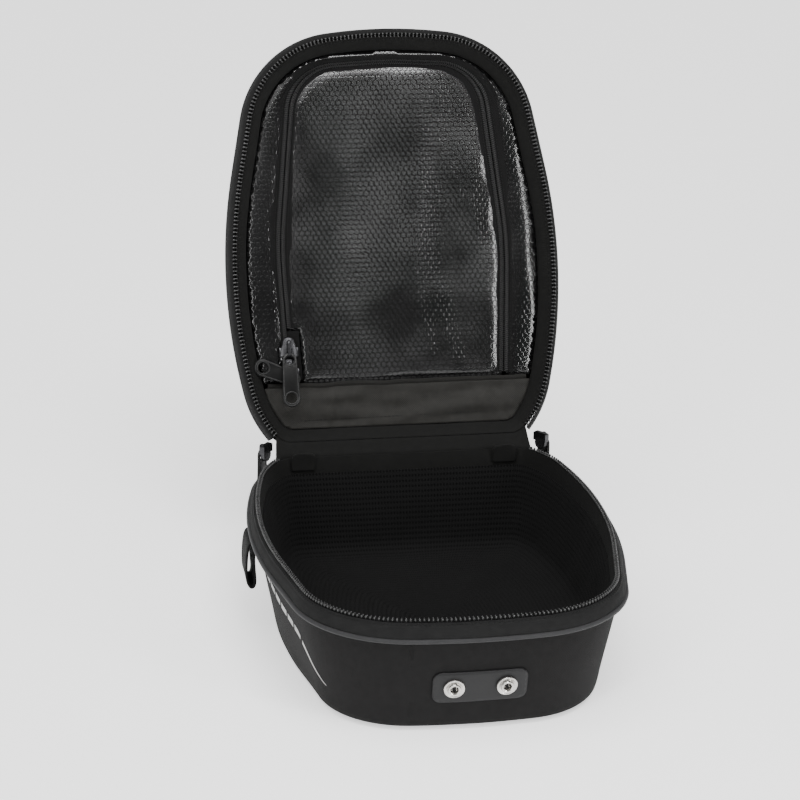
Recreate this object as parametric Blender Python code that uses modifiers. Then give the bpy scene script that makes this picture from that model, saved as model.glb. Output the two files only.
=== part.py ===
"""Motorcycle tank bag with a moulded tub and a zip-round lid, shown with the lid open.

+X is to the right, +Y runs from the snap patch to the hinge, +Z is up. The origin is
the middle of the flat underside. Sizes are in millimetres here and become metres when a
mesh is made. Everything on the lid is drawn closed, flat on the tub, and the lid's empty
then opens it. Heights in a section are counted from the zip plane.
"""

import math

import bmesh
import bpy
from mathutils import Matrix, Vector

MM = 0.001
GAP = 0.3

# Driving dimensions
ZIP_PLANE = 75.0
LID_HEIGHT = 27.5
TUB_WALL = 3.0
LID_WALL = 2.5
LINING = 1.0
PAD = 1.5
BOARD_RING = 0.7
LID_OPEN_DEG = 109.0
HINGE = (0.0, 137.0, ZIP_PLANE + 1.0)
FILM_H = 11.2
POCKET_HINGE = (0.0, 94.2, ZIP_PLANE + 9.6)
POCKET_END_Y = 92.0
STUB_Y = 60.0
STUB_WIDTH = 8.0
FRONT_SQUEEZE = 0.5
SEAM = 0.2
SNAP_SPACING = 30.0
SNAP_MIDDLE_X = 3.0
SNAP_HEIGHT = -45.0
LOOP_Y = 38.0
LOOP_WIDTH = 25.0
PULL_WIDTH = 11.0
PULL_LENGTH = 36.0
MAIN_PULL_LENGTH = 32.0
SLIDER_H = 8.5
UPPER_SLIDER_Y = 64.0
LOWER_SLIDER_Y = 77.8
PULL_TILT_DEG = 8.0
LOWER_PULL_DEG = 112.6
PULL_THICKNESS = 1.0
BAIL_RADIUS = 0.5

# Right half of the zip line, front to back: corner x, corner y, fillet radius, steps
ZIP_CORNERS = (
    (0.0, -133.0, 300.0, 3),
    (83.7, -123.1, 62.7, 7),
    (112.7, 26.4, 340.0, 5),
    (93.9, 114.2, 70.0, 4),
    (78.8, 133.5, 14.0, 3),
)
SMALLEST_RADIUS = 10.0
# Right half of the pocket zip's centre line, hinge end to front, in the same form
POCKET_CORNERS = (
    (70.5, POCKET_END_Y, 0.0, 0),
    (74.5, 5.0, 250.0, 3),
    (62.0, -110.5, 32.0, 5),
    (0.0, -114.0, 300.0, 2),
)

# Sections: distance outside the zip line at the front, the same at the sides, height
TUB_SECTION = (
    (5.4, 3.3, -12.9), (3.6, 2.2, -13.6), (0.8, 0.6, -14.3), (-8.0, -8.0, -58.0),
    (-9.5, -9.5, -66.0), (-10.6, -10.6, -70.0), (-12.8, -12.8, -72.4), (-16.5, -16.5, -73.2),
)
TUB_LINING_SECTION = (
    (-2.8, -2.8, -14.0), (-11.4, -11.4, -57.0), (-13.2, -13.2, -63.0), (-16.9, -16.9, -66.6),
    (-21.2, -21.2, -67.8), (-27.0, -27.0, -68.0),
)
LID_SECTION = (
    (2.4, 2.4, 13.2), (0.4, 0.4, 14.2), (-2.2, -2.2, 19.0), (-6.5, -6.5, 23.6),
    (-13.5, -13.5, 26.2), (-30.0, -30.0, LID_HEIGHT),
)
TUB_BAND = (
    (1.6, 1.2, -3.0), (4.4, 2.8, -4.6), (6.0, 3.8, -7.6), (6.5, 4.2, -9.4),
    (2.6, 1.4, -9.4), (2.2, 1.0, -7.0), (0.2, 0.2, -4.2),
)
LID_BAND = (
    (1.4, 1.4, 3.0), (0.2, 0.2, 4.2), (1.0, 1.0, 7.0), (1.4, 1.4, 10.1),
    (3.6, 3.6, 10.1), (3.6, 3.6, 7.4), (2.8, 2.8, 4.4),
)
TUB_FACING = ((-1.3, -1.3, -2.8), (-2.8, -2.8, -13.4), (-3.8, -3.8, -13.4), (-2.3, -2.3, -2.8))
LID_FACING = ((-1.3, -1.3, 2.8), (-9.2, -9.2, 10.6), (-9.2, -9.2, 12.0), (-8.4, -8.4, 12.0), (-1.3, -1.3, 4.6))
TUB_TAPE = ((-1.0, -1.0, -2.7), (-1.0, -1.0, -9.6), (-0.2, -0.2, -9.6), (-0.2, -0.2, -2.7))
LID_TAPE = ((-1.0, -1.0, 2.7), (-0.2, -0.2, 2.7), (-0.2, -0.2, 10.8), (-1.0, -1.0, 10.8))
TUB_CHAIN = ((-2.0, -2.0, -0.2), (-2.0, -2.0, -2.4), (0.8, 0.8, -2.4), (0.8, 0.8, -0.2))
LID_CHAIN = ((-2.0, -2.0, 0.2), (0.8, 0.8, 0.2), (0.8, 0.8, 2.4), (-2.0, -2.0, 2.4))


def clear_scene():
    for obj in list(bpy.data.objects):
        bpy.data.objects.remove(obj, do_unlink=True)


def make_collection(name):
    collection = bpy.data.collections.new(name)
    bpy.context.scene.collection.children.link(collection)
    return collection


def make_material(name, color, roughness, metallic=0.0, alpha=1.0):
    material = bpy.data.materials.new(name)
    material.use_nodes = True
    shader = material.node_tree.nodes["Principled BSDF"]
    shader.inputs["Base Color"].default_value = (*color, 1.0)
    shader.inputs["Roughness"].default_value = roughness
    shader.inputs["Metallic"].default_value = metallic
    shader.inputs["Alpha"].default_value = alpha
    return material


def rounded(corners, closed):
    """Points of a polygon with filleted corners, each (x, y, radius, steps)."""
    points = []
    for i, (x, y, radius, steps) in enumerate(corners):
        corner = Vector((x, y))
        if not closed and i in (0, len(corners) - 1):
            points.append(corner)
            continue
        before = (corner - Vector(corners[i - 1][:2])).normalized()
        after = (Vector(corners[(i + 1) % len(corners)][:2]) - corner).normalized()
        turn = math.atan2(before.x * after.y - before.y * after.x, before.dot(after))
        start = corner - before * radius * math.tan(abs(turn) / 2)
        centre = start + Vector((-before.y, before.x)) * math.copysign(radius, turn)
        for step in range(steps + 1):
            points.append(centre + Matrix.Rotation(turn * step / steps, 2) @ (start - centre))
    return points


def zip_line(front, side=None, rear=None, open_at_hinge=False):
    """The bag's outline, moved outwards, anticlockwise from the middle of the front.

    Open at the hinge, it runs from the zip's left end round the front to its right end.
    """
    side = front if side is None else side
    rear = side if rear is None else rear
    full = list(ZIP_CORNERS) + [(-x, y, r, n) for x, y, r, n in ZIP_CORNERS[:0:-1]]
    back = len(ZIP_CORNERS) - 1
    moves = [front] + [side] * (back - 2) + [(side + rear) / 2, rear, (side + rear) / 2]
    moves += [side] * (back - 2) + [front]
    moved = []
    for i, (x, y, radius, steps) in enumerate(full):
        here = Vector((x, y))
        into = (here - Vector(full[i - 1][:2])).normalized()
        out = (Vector(full[(i + 1) % len(full)][:2]) - here).normalized()
        a, b = moves[i - 1], moves[i]
        cross = into.x * out.y - into.y * out.x
        corner = here + Vector((b * into.x - a * out.x, b * into.y - a * out.y)) / cross
        moved.append((corner.x, corner.y, max(radius + min(a, b), SMALLEST_RADIUS), steps))
    points = rounded(moved, closed=True)
    if not open_at_hinge:
        return points
    counts = [steps + 1 for _, _, _, steps in full]
    return points[sum(counts[: back + 2]) - 1 :] + points[: sum(counts[:back]) + 1]


def pocket_line(offset):
    """The pocket zip's line from its right end round the front to its left end.

    The tape tilts at the front, so past the seam it looks half as wide there.
    """
    full = list(POCKET_CORNERS) + [(-x, y, r, n) for x, y, r, n in POCKET_CORNERS[-2::-1]]
    points = rounded(full, closed=False)
    moved = []
    seam = math.copysign(SEAM, offset)
    for i, point in enumerate(points):
        along = (points[min(i + 1, len(points) - 1)] - points[max(i - 1, 0)]).normalized()
        beyond = Vector((-along.y, -along.x * -FRONT_SQUEEZE)) * (offset - seam)
        moved.append(point + Vector((-along.y, along.x)) * seam + beyond)
    moved[0].y = moved[-1].y = POCKET_END_Y
    return moved


def pocket_leg_x(y):
    """X of the pocket zip's left leg at y."""
    (x0, y0), (x1, y1) = (corner[:2] for corner in POCKET_CORNERS[:2])
    return -(x0 + (x1 - x0) * (y0 - y) / (y0 - y1))


def lift(points, z):
    return [Vector((p.x, p.y, z)) for p in points]


def loft(rings, cyclic_rings, cyclic_points, caps):
    """Quads between successive rings, as a bmesh. caps is none, last, both or ends."""
    bm = bmesh.new()
    rows = [[bm.verts.new(p) for p in ring] for ring in rings]
    for i in range(len(rows) if cyclic_rings else len(rows) - 1):
        this, following = rows[i], rows[(i + 1) % len(rows)]
        for j in range(len(this) if cyclic_points else len(this) - 1):
            m = (j + 1) % len(this)
            bm.faces.new((this[j], this[m], following[m], following[j]))
    if caps in ("last", "both"):
        bm.faces.new(rows[-1])
    if caps == "both":
        bm.faces.new(rows[0])
    if caps == "ends":
        bm.faces.new([row[0] for row in rows])
        bm.faces.new([row[-1] for row in rows])
    return bm


def place(obj, material, parent):
    """Under a pivot a mesh keeps its closed coordinates, so its object steps back."""
    obj.data.materials.append(material)
    PARTS.objects.link(obj)
    if parent:
        obj.parent = parent
        obj.matrix_local = Matrix.Translation(-Vector(parent["origin"]) * MM) @ obj.matrix_basis
    return obj


def to_mesh(name, bm):
    """Turns a bmesh in millimetres into a mesh in metres, facing outwards."""
    bmesh.ops.recalc_face_normals(bm, faces=bm.faces)
    if all(edge.is_manifold for edge in bm.edges) and bm.calc_volume(signed=True) < 0:
        bmesh.ops.reverse_faces(bm, faces=bm.faces)
    bmesh.ops.scale(bm, vec=(MM, MM, MM), verts=bm.verts)
    mesh = bpy.data.meshes.new(name)
    bm.to_mesh(mesh)
    bm.free()
    return mesh


def put(name, bm, material, parent=None):
    """Makes a node from a bmesh in millimetres."""
    return place(bpy.data.objects.new(name, to_mesh(name, bm)), material, parent)


def make_pivot(name, origin, parent=None, turn=None):
    """An empty on a joint's axis, at a place in the closed frame."""
    pivot = bpy.data.objects.new(name, None)
    pivot["origin"] = origin
    PARTS.objects.link(pivot)
    pivot.parent = parent
    pivot.location = (Vector(origin) - Vector(parent["origin"] if parent else (0, 0, 0))) * MM
    if turn:
        pivot.rotation_euler = turn
    return pivot


def band(name, section, material, parent=None, open_at_hinge=True):
    """A strip of the given closed section that follows the zip line."""
    rings = [
        lift(zip_line(front, side, None, open_at_hinge), ZIP_PLANE + height)
        for front, side, height in section
    ]
    caps = "ends" if open_at_hinge else "none"
    return put(name, loft(rings, True, not open_at_hinge, caps), material, parent)


def inner_face(section, thickness):
    """The section moved inwards by the wall's thickness, mitred at its corners."""
    inner = []
    steps = [(Vector(b[1:]) - Vector(a[1:])).normalized() for a, b in zip(section, section[1:])]
    towards = math.copysign(1.0, section[0][2] - section[-1][2])
    normals = [Vector((step.y, -step.x)) * towards for step in steps]
    for i, (front, side, height) in enumerate(section):
        a = normals[max(i - 1, 0)]
        b = normals[i] if i < len(normals) else Vector((0.0, towards))
        move = (a + b) / (1.0 + a.dot(b)) * thickness
        inner.append((front + move.x, side + move.x, height + move.y))
    return inner


def moulding(name, section, thickness, material, parent=None):
    """An open shell: the section's outer surface, thickened inwards."""
    walls = list(reversed(section)) + inner_face(section, thickness)
    rings = [
        lift(zip_line(front, side, min(side, 0.0)), ZIP_PLANE + height)
        for front, side, height in walls
    ]
    return put(name, loft(rings, False, True, "both"), material, parent)


def plate(name, outline, low, high, material, parent=None):
    rings = [lift(outline, ZIP_PLANE + low), lift(outline, ZIP_PLANE + high)]
    return put(name, loft(rings, False, True, "both"), material, parent)


def board(name, offset, low, high, material, parent=None):
    """A flat sheet in the zip line's shape, with an inner ring on both faces."""
    edge = zip_line(offset)
    inner = [p * BOARD_RING for p in edge]
    levels = [(inner, low), (edge, low), (edge, high), (inner, high)]
    rings = [lift(outline, ZIP_PLANE + height) for outline, height in levels]
    put(name, loft(rings, False, True, "both"), material, parent)


def box_mesh(centre, size, turn=None):
    bm = bmesh.new()
    bmesh.ops.create_cube(bm, size=1.0)
    bmesh.ops.scale(bm, vec=size, verts=bm.verts)
    if turn:
        bmesh.ops.rotate(bm, cent=(0, 0, 0), matrix=turn, verts=bm.verts)
    bmesh.ops.translate(bm, vec=centre, verts=bm.verts)
    return bm


def bevelled(obj, width):
    modifier = obj.modifiers.new("edges", "BEVEL")
    modifier.width = width * MM
    modifier.segments = 2
    return obj


def tube(name, points, radius, material, parent=None):
    """A wire of the given radius along a line, with filled ends."""
    curve = bpy.data.curves.new(name, "CURVE")
    curve.dimensions = "3D"
    curve.bevel_depth = radius * MM
    curve.bevel_resolution = 1
    curve.use_fill_caps = True
    spline = curve.splines.new("POLY")
    spline.points.add(len(points) - 1)
    for target, point in zip(spline.points, points):
        target.co = (*(point * MM), 1.0)
    return place(bpy.data.objects.new(name, curve), material, parent)


def circle(x, y, radius, count=14):
    turns = [2 * math.pi * i / count for i in range(count)]
    return [(x + radius * math.cos(t), y + radius * math.sin(t)) for t in turns]


def flat_part(name, loops, thickness, matrix, material, parent=None):
    """A sheet cut to a 2D outline with holes, placed by a matrix in millimetres."""
    curve = bpy.data.curves.new(name, "CURVE")
    curve.dimensions = "2D"
    curve.fill_mode = "BOTH"
    curve.extrude = thickness / 2 * MM
    for loop in loops:
        spline = curve.splines.new("POLY")
        spline.use_cyclic_u = True
        spline.points.add(len(loop) - 1)
        for target, (x, y) in zip(spline.points, loop):
            target.co = (x * MM, y * MM, 0.0, 1.0)
    obj = bpy.data.objects.new(name, curve)
    obj.matrix_basis = Matrix.Translation(matrix.translation * MM) @ matrix.to_3x3().to_4x4()
    return place(obj, material, parent)


def subtract(obj, bm):
    """Cuts a bmesh, in millimetres and the closed frame, out of a node."""
    name = obj.name + "_cutter"
    cutter = bpy.data.objects.new(name, to_mesh(name, bm))
    CUTTERS.objects.link(cutter)
    cutter.hide_render = True
    cutter.display_type = "WIRE"
    modifier = obj.modifiers.new("cut", "BOOLEAN")
    modifier.operation = "DIFFERENCE"
    modifier.object = cutter


def front_wall(x, height):
    """Point on the tub's front wall and its outward normal."""
    (top, _, high), (foot, _, low) = TUB_SECTION[2], TUB_SECTION[3]
    slope = (top - foot) / (high - low)
    line = zip_line(foot + (height - low) * slope)
    ahead = [p for p in line if p.y < 0]
    ahead.sort(key=lambda p: p.x)
    a, b = next((a, b) for a, b in zip(ahead, ahead[1:]) if a.x <= x <= b.x)
    y = a.y + (b.y - a.y) * (x - a.x) / (b.x - a.x)
    normal = Vector((b.y - a.y, a.x - b.x, -slope * (b - a).length)).normalized()
    return Vector((x, y, ZIP_PLANE + height)), normal


def make_tub():
    tub = moulding("base_shell", TUB_SECTION, TUB_WALL, FABRIC)
    moulding("base_lining", TUB_LINING_SECTION, LINING, KNIT)
    board_low = TUB_SECTION[-1][2] + TUB_WALL + GAP
    board("floor_board", -28.0, board_low, board_low + PAD, BOARD)
    board("base_pad", -27.0, -ZIP_PLANE, PAD - ZIP_PLANE, GRIP)
    band("rim_band", TUB_BAND, FABRIC)
    band("rim_facing", TUB_FACING, FACING, open_at_hinge=False)
    band("zip_tape_lower", TUB_TAPE, TAPE)
    band("zip_chain_lower", TUB_CHAIN, TEETH)
    tube("rim_piping", lift(zip_line(7.0, 5.0, None, True), ZIP_PLANE - 11.1), 1.3, PIPING)
    return tub


def make_snaps(tub):
    """The rubber patch on the front wall, its two sockets and their inner caps."""
    columns = [SNAP_MIDDLE_X + 27.5 * (i / 4 - 1) for i in range(9)]
    heights = [SNAP_HEIGHT + 10.5 * (i / 1.5 - 1) for i in range(4)]
    rows = []
    for height in heights:
        row = []
        for x in columns:
            end = abs(x - SNAP_MIDDLE_X) > 27 and abs(height - SNAP_HEIGHT) > 10
            point, normal = front_wall(x - math.copysign(1.8, x - SNAP_MIDDLE_X) * end, height)
            row.append(point + normal * (0.3 + GAP))
        rows.append(row)
    patch = put("snap_patch", loft(rows, False, False, "none"), PATCH)
    solid = patch.modifiers.new("thickness", "SOLIDIFY")
    solid.thickness = 1.2 * MM
    solid.offset = 1.0 if patch.data.polygons[0].normal.y < 0 else -1.0
    for side, name in ((-1, "left"), (1, "right")):
        point, normal = front_wall(SNAP_MIDDLE_X + side * SNAP_SPACING / 2, SNAP_HEIGHT)
        frame = Matrix.Translation(point) @ normal.to_track_quat("Z", "Y").to_matrix().to_4x4()
        for layer in (tub, patch):
            bm = bmesh.new()
            bmesh.ops.create_cone(bm, cap_ends=True, segments=16, radius1=3.2, radius2=3.2, depth=24.0)
            bmesh.ops.transform(bm, matrix=frame, verts=bm.verts)
            subtract(layer, bm)
        socket = ((2.2, -2.8), (2.8, -2.8), (2.8, 2.1), (6.2, 2.1), (6.0, 3.2), (4.4, 4.0), (2.2, 3.4))
        turned("snap_socket_" + name, socket, frame, SNAP)
        cap = ((2.2, -6.6), (5.6, -6.6), (5.2, -5.4), (2.2, -5.4))
        turned("snap_cap_" + name, cap, frame, SNAP)


def turned(name, profile, frame, material, count=20):
    """A ring: a closed profile of (radius, height) turned about the frame's Z axis."""
    rings = []
    for i in range(count):
        turn = Matrix.Rotation(2 * math.pi * i / count, 4, "Z")
        rings.append([frame @ turn @ Vector((radius, 0.0, height)) for radius, height in profile])
    return put(name, loft(rings, True, True, "none"), material)


def make_side_loops():
    """Webbing folded double, hanging from the flange on each side."""
    wall_x = max(p.x for p in zip_line(0.6) if abs(p.y - LOOP_Y) < 40)
    outer = [(0.9, -15.8), (6.4, -15.8), (7.2, -30.0), (7.0, -43.0), (4.6, -46.0), (2.2, -46.0), (0.6, -43.5)]
    inner = [(2.6, -17.6), (4.8, -17.6), (5.4, -30.0), (5.2, -42.6), (2.4, -43.0)]
    for side, name in ((-1, "left"), (1, "right")):
        across = Matrix(((side, 0, 0, side * wall_x), (0, 0, -side, LOOP_Y), (0, 1, 0, ZIP_PLANE), (0, 0, 0, 1)))
        flat_part("side_loop_" + name, (outer, inner), LOOP_WIDTH, across, WEBBING)


def make_gusset(lid):
    """The fabric hinge, split at the axis, and the tabs inside the zip's ends."""
    y, thickness, length = 135.0, 2.0, 150.0
    lower = box_mesh((0, y, ZIP_PLANE - 10.8), (length, thickness, 21.0))
    bevelled(put("hinge_gusset_lower", lower, TAPE), 0.5)
    upper = box_mesh((0, y, ZIP_PLANE + 9.6), (length, thickness, 16.4))
    bevelled(put("hinge_gusset_upper", upper, TAPE, lid), 0.5)
    for side, name in ((-1, "left"), (1, "right")):
        tab = box_mesh((side * 66.0, 128.6, ZIP_PLANE - 5.0), (16.0, 1.0, 13.0))
        bevelled(put("zip_end_tab_" + name, tab, FACING), 0.3)


def pull_loops(length, ring_y=4.6):
    """Outline and holes of a pull tab along +Y, with its ring's centre at ring_y."""
    half = PULL_WIDTH / 2
    foot = ring_y + length - 2 * half
    top = [(half * math.cos(t), ring_y + half * math.sin(t)) for t in arc(180, 360, 8)]
    end = [(half * math.cos(t), foot + half * math.sin(t)) for t in arc(0, 180, 8)]
    return [top + end, circle(0, ring_y, 3.9), circle(0, foot - 0.3, 3.6)]


def arc(start, end, steps):
    return [math.radians(start + (end - start) * i / steps) for i in range(steps + 1)]


def slider_body(name, frame, length, narrow, wide, thickness, bail_height, material, parent=None):
    """A slider's top plate with its bail. Z of the frame is outwards, Y along the zip."""
    outline = [(-narrow, 0), (narrow, 0), (wide, length * 0.6), (wide, length), (-wide, length), (-wide, length * 0.6)]
    rings = [[frame @ Vector((x * s, y, z)) for x, y in outline] for s, z in ((1, 0), (1, thickness - 0.4), (0.9, thickness))]
    obj = put(name, loft(rings, False, True, "both"), material, parent)
    foot, shoulder, far = thickness - 0.4, bail_height - 0.8, length - 0.8
    bail = [
        (2.4, foot), (2.4, shoulder), (3.4, bail_height),
        (far - 1.0, bail_height), (far, shoulder), (far, foot),
    ]
    rows = []
    for i, (y, z) in enumerate(bail):
        before, after = bail[max(i - 1, 0)], bail[min(i + 1, len(bail) - 1)]
        along = Vector((after[0] - before[0], after[1] - before[1])).normalized()
        across = Vector((-along.y, along.x)) * BAIL_RADIUS
        here = Vector((y, z))
        corners = [(-1.1, here - across), (1.1, here - across), (1.1, here + across), (-1.1, here + across)]
        rows.append([frame @ Vector((x, p.x, p.y)) for x, p in corners])
    join(obj, loft(rows, False, True, "both"))
    return obj


def join(obj, bm):
    """Unites a bmesh, in millimetres, with a node."""
    subtract(obj, bm)
    obj.modifiers[-1].operation = "UNION"
    cutter = obj.modifiers[-1].object
    if obj.parent:
        cutter.parent = obj.parent
        cutter.location = obj.location


def make_main_sliders():
    """A slider parked at each end of the main zip, outside the rim, with its pull hanging."""
    along = Vector((-0.616, 0.788, 0.0))
    for side, name in ((-1, "left"), (1, "right")):
        out = Vector((side * along.y, -along.x, 0.0))
        up = Vector((0.0, 0.0, 1.0))
        zip_way = up.cross(out)
        frame = Matrix((zip_way, up, out)).transposed().to_4x4()
        frame.translation = Vector((side * 84.0, 124.5, ZIP_PLANE - 3.0)) + out * 6.8
        slider_body("main_slider_" + name, frame, 11.6, 4.2, 5.2, 3.0, 5.6, SLIDER)
        hook = frame @ Vector((0.0, 8.4, 4.2))
        pivot = make_pivot("main_pull_pivot_" + name, tuple(hook))
        hanging = Matrix((zip_way, -up, -out)).transposed().to_4x4()
        hanging.translation = hook
        flat_part("main_pull_" + name, pull_loops(MAIN_PULL_LENGTH), PULL_THICKNESS, hanging, PULL, pivot)


def make_lid(lid):
    moulding("lid_shell", LID_SECTION, LID_WALL, FABRIC, lid)
    board("lid_lining", -22.0, LID_HEIGHT - 4.4, LID_HEIGHT - 3.8, KNIT, lid)
    band("lid_band", LID_BAND, FABRIC, lid)
    band("lid_facing", LID_FACING, FACING, lid, open_at_hinge=False)
    band("zip_tape_upper", LID_TAPE, TAPE, lid)
    band("zip_chain_upper", LID_CHAIN, TEETH, lid)
    tube("lid_piping", lift(zip_line(3.4, 3.4, None, True), ZIP_PLANE + 11.6), 1.1, PIPING, lid)


def cross_at(points, y):
    """The two places where a line round the front crosses a given y, left one first."""
    found = []
    for a, b in zip(points, points[1:]):
        if (a.y - y) * (b.y - y) < 0:
            found.append(a.lerp(b, (y - a.y) / (b.y - a.y)))
    return sorted(found, key=lambda p: p.x)


def make_pocket(lid, flap):
    inside_facing = zip_line(-9.6)
    left, right = cross_at(inside_facing + inside_facing[:1], POCKET_END_Y)
    start = [p for p in zip_line(-9.6, open_at_hinge=True) if p.y < POCKET_END_Y]
    frame = [left] + start + [right] + pocket_line(1.2)
    plate("film_frame", frame, FILM_H, FILM_H + 0.6, FILM, lid)

    panel_y = 97.3
    left, right = cross_at(inside_facing + inside_facing[:1], panel_y)
    rows = []
    for p in [right] + [p for p in inside_facing if p.y > panel_y and p.x > 0]:
        low, high = ZIP_PLANE + FILM_H, ZIP_PLANE + FILM_H + 0.8
        rows.append([(-p.x, p.y, low), (p.x, p.y, low), (p.x, p.y, high), (-p.x, p.y, high)])
    put("nylon_panel", loft(rows, False, True, "both"), NYLON, lid)
    binding = box_mesh((0.0, 95.8, ZIP_PLANE + 11.0), (2 * right.x - 4.0, 2.4, 3.2))
    bevelled(put("panel_binding", binding, BINDING, lid), 0.5)

    for what, width, low, high, material in (("tape", 10.0, 10.2, 10.9, TAPE), ("coil", 3.2, 8.8, 9.9, TEETH)):
        stub = min(STUB_WIDTH, width)
        near, far = pocket_line(0.2), pocket_line(width)
        stub_end = [Vector((pocket_leg_x(y) + stub, y)) for y in (POCKET_END_Y, STUB_Y)]
        corner = Vector((pocket_leg_x(STUB_Y) - 0.2, STUB_Y))
        outer = far + stub_end + [corner] + near[-2::-1]
        plate("pocket_" + what + "_outer", outer, low, high, material, lid)
        near, far = pocket_line(-0.2), pocket_line(-width)
        corner = Vector((pocket_leg_x(STUB_Y) + 0.2, STUB_Y - GAP))
        if width > stub:
            notch = [Vector((pocket_leg_x(y) + stub + GAP, y)) for y in (STUB_Y - GAP, POCKET_END_Y)]
            inner = near[:-1] + [corner] + notch + far[::-1]
        else:
            inner = near[:-1] + [corner, Vector((corner.x + width - 0.4, corner.y))] + far[-2::-1]
        plate("pocket_" + what + "_inner", inner, low, high, material, flap)
    notch = [Vector((pocket_leg_x(y) + STUB_WIDTH + GAP, y)) for y in (STUB_Y - GAP, POCKET_END_Y)]
    film = pocket_line(-1.2)[:-1] + [Vector((pocket_leg_x(STUB_Y) + 1.2, STUB_Y - GAP))] + notch
    plate("pocket_film", film, FILM_H, FILM_H + 0.6, FILM, flap)


def make_pocket_sliders(lid):
    """Two sliders at the left end of the pocket zip. One pull hangs, the other lies across."""
    flat = Matrix.Rotation(math.pi, 4, "Y")
    x = pocket_leg_x(71.0)
    start = Vector((x, UPPER_SLIDER_Y, ZIP_PLANE + SLIDER_H))
    travel = make_pivot("pocket_slider_travel", tuple(start), lid)
    frame = Matrix.Translation(start) @ flat
    slider_body("pocket_slider_upper", frame, 13.4, 4.2, 6.2, 1.4, 5.3, SLIDER, travel)
    hook = start + Vector((0.0, 10.4, -3.9))
    pivot = make_pivot("pocket_pull_upper_pivot", tuple(hook), travel)
    tilted = Matrix.Translation(hook) @ Matrix.Rotation(-math.radians(PULL_TILT_DEG), 4, "X")
    flat_part("pocket_pull_upper", pull_loops(PULL_LENGTH), PULL_THICKNESS, tilted, PULL, pivot)

    start = Vector((x, LOWER_SLIDER_Y, ZIP_PLANE + SLIDER_H))
    frame = Matrix.Translation(start) @ flat
    slider_body("pocket_slider_lower", frame, 13.4, 4.2, 6.2, 1.4, 3.3, SLIDER, lid)
    leg = start + Vector((0.0, 12.6, -2.1))
    pivot = make_pivot("pocket_pull_lower_pivot", tuple(leg), lid)
    across = Matrix.Translation(leg) @ Matrix.Rotation(math.radians(LOWER_PULL_DEG), 4, "Z")
    flat_part("pocket_pull_lower", pull_loops(32.0, -2.2), PULL_THICKNESS, across, PULL, pivot)


clear_scene()
PARTS = make_collection("tank_bag")
CUTTERS = make_collection("cutters")
FABRIC = make_material("shell_fabric", (0.035, 0.035, 0.037), 0.85)
KNIT = make_material("knit_lining", (0.012, 0.012, 0.013), 0.9)
FACING = make_material("facing", (0.045, 0.044, 0.040), 0.8)
PIPING = make_material("piping", (0.16, 0.16, 0.17), 0.5)
TAPE = make_material("zip_tape", (0.02, 0.02, 0.021), 0.85)
TEETH = make_material("zip_teeth", (0.02, 0.02, 0.02), 0.3)
SLIDER = make_material("slider_metal", (0.08, 0.08, 0.085), 0.35, 0.9)
PULL = make_material("pull_metal", (0.05, 0.05, 0.052), 0.4, 0.6)
SNAP = make_material("snap_metal", (0.55, 0.54, 0.52), 0.25, 1.0)
PATCH = make_material("patch_rubber", (0.06, 0.06, 0.063), 0.5)
WEBBING = make_material("webbing", (0.02, 0.02, 0.021), 0.85)
FILM = make_material("film", (0.25, 0.25, 0.26), 0.15, 0.0, 0.5)
NYLON = make_material("nylon", (0.05, 0.05, 0.05), 0.7)
BINDING = make_material("binding", (0.03, 0.03, 0.03), 0.8)
BOARD = make_material("board", (0.02, 0.02, 0.02), 0.6)
GRIP = make_material("grip_rubber", (0.02, 0.02, 0.02), 0.8)

lid_pivot = make_pivot("lid_pivot", HINGE, turn=(-math.radians(LID_OPEN_DEG), 0.0, 0.0))
flap_pivot = make_pivot("pocket_flap_pivot", POCKET_HINGE, lid_pivot)
make_snaps(make_tub())
make_side_loops()
make_gusset(lid_pivot)
make_main_sliders()
make_lid(lid_pivot)
make_pocket(lid_pivot, flap_pivot)
make_pocket_sliders(lid_pivot)
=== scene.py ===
"""The tank bag's looks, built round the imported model.

The shapes are lofted round the same zip line as the CAD, in millimetres, with everything on
the lid drawn closed and then turned open about the hinge. Meshes are in metres.
"""

import math

import bmesh
import bpy
import numpy as np
from mathutils import Matrix, Vector, noise
from mathutils.geometry import delaunay_2d_cdt


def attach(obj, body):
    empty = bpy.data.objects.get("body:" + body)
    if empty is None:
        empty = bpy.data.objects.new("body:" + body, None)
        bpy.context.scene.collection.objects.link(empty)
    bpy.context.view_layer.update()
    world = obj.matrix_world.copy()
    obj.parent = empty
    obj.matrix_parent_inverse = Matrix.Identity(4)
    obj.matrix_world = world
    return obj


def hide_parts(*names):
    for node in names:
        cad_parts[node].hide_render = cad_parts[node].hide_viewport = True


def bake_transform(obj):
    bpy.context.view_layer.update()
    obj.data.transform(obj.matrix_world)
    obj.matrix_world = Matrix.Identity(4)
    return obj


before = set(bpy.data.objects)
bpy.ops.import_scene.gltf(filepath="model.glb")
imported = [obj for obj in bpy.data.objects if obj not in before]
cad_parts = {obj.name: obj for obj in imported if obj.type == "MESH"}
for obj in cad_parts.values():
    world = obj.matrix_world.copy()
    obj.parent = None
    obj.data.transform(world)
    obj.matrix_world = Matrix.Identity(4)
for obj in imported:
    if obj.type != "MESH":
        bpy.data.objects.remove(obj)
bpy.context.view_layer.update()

MM = 0.001
# Height of the main zip's plane, the hinge line and the lid's opening
ZIP = 75.0
HINGE = Vector((0.0, 137.0, ZIP + 1.0))
LID_ANGLE = math.radians(109.0)
OPEN = Matrix.Translation(HINGE) @ Matrix.Rotation(-LID_ANGLE, 4, "X") @ Matrix.Translation(-HINGE)
STILL = Matrix.Identity(4)
SIDES = ((-1, "left"), (1, "right"))
TOOTH_PITCH = 2.5
# Where the pocket zip and the film end, and where the open stub of its tape starts
POCKET_END = 92.0
FILM_END = 94.3
STUB_Y = 60.0
STUB = 8.0
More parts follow.
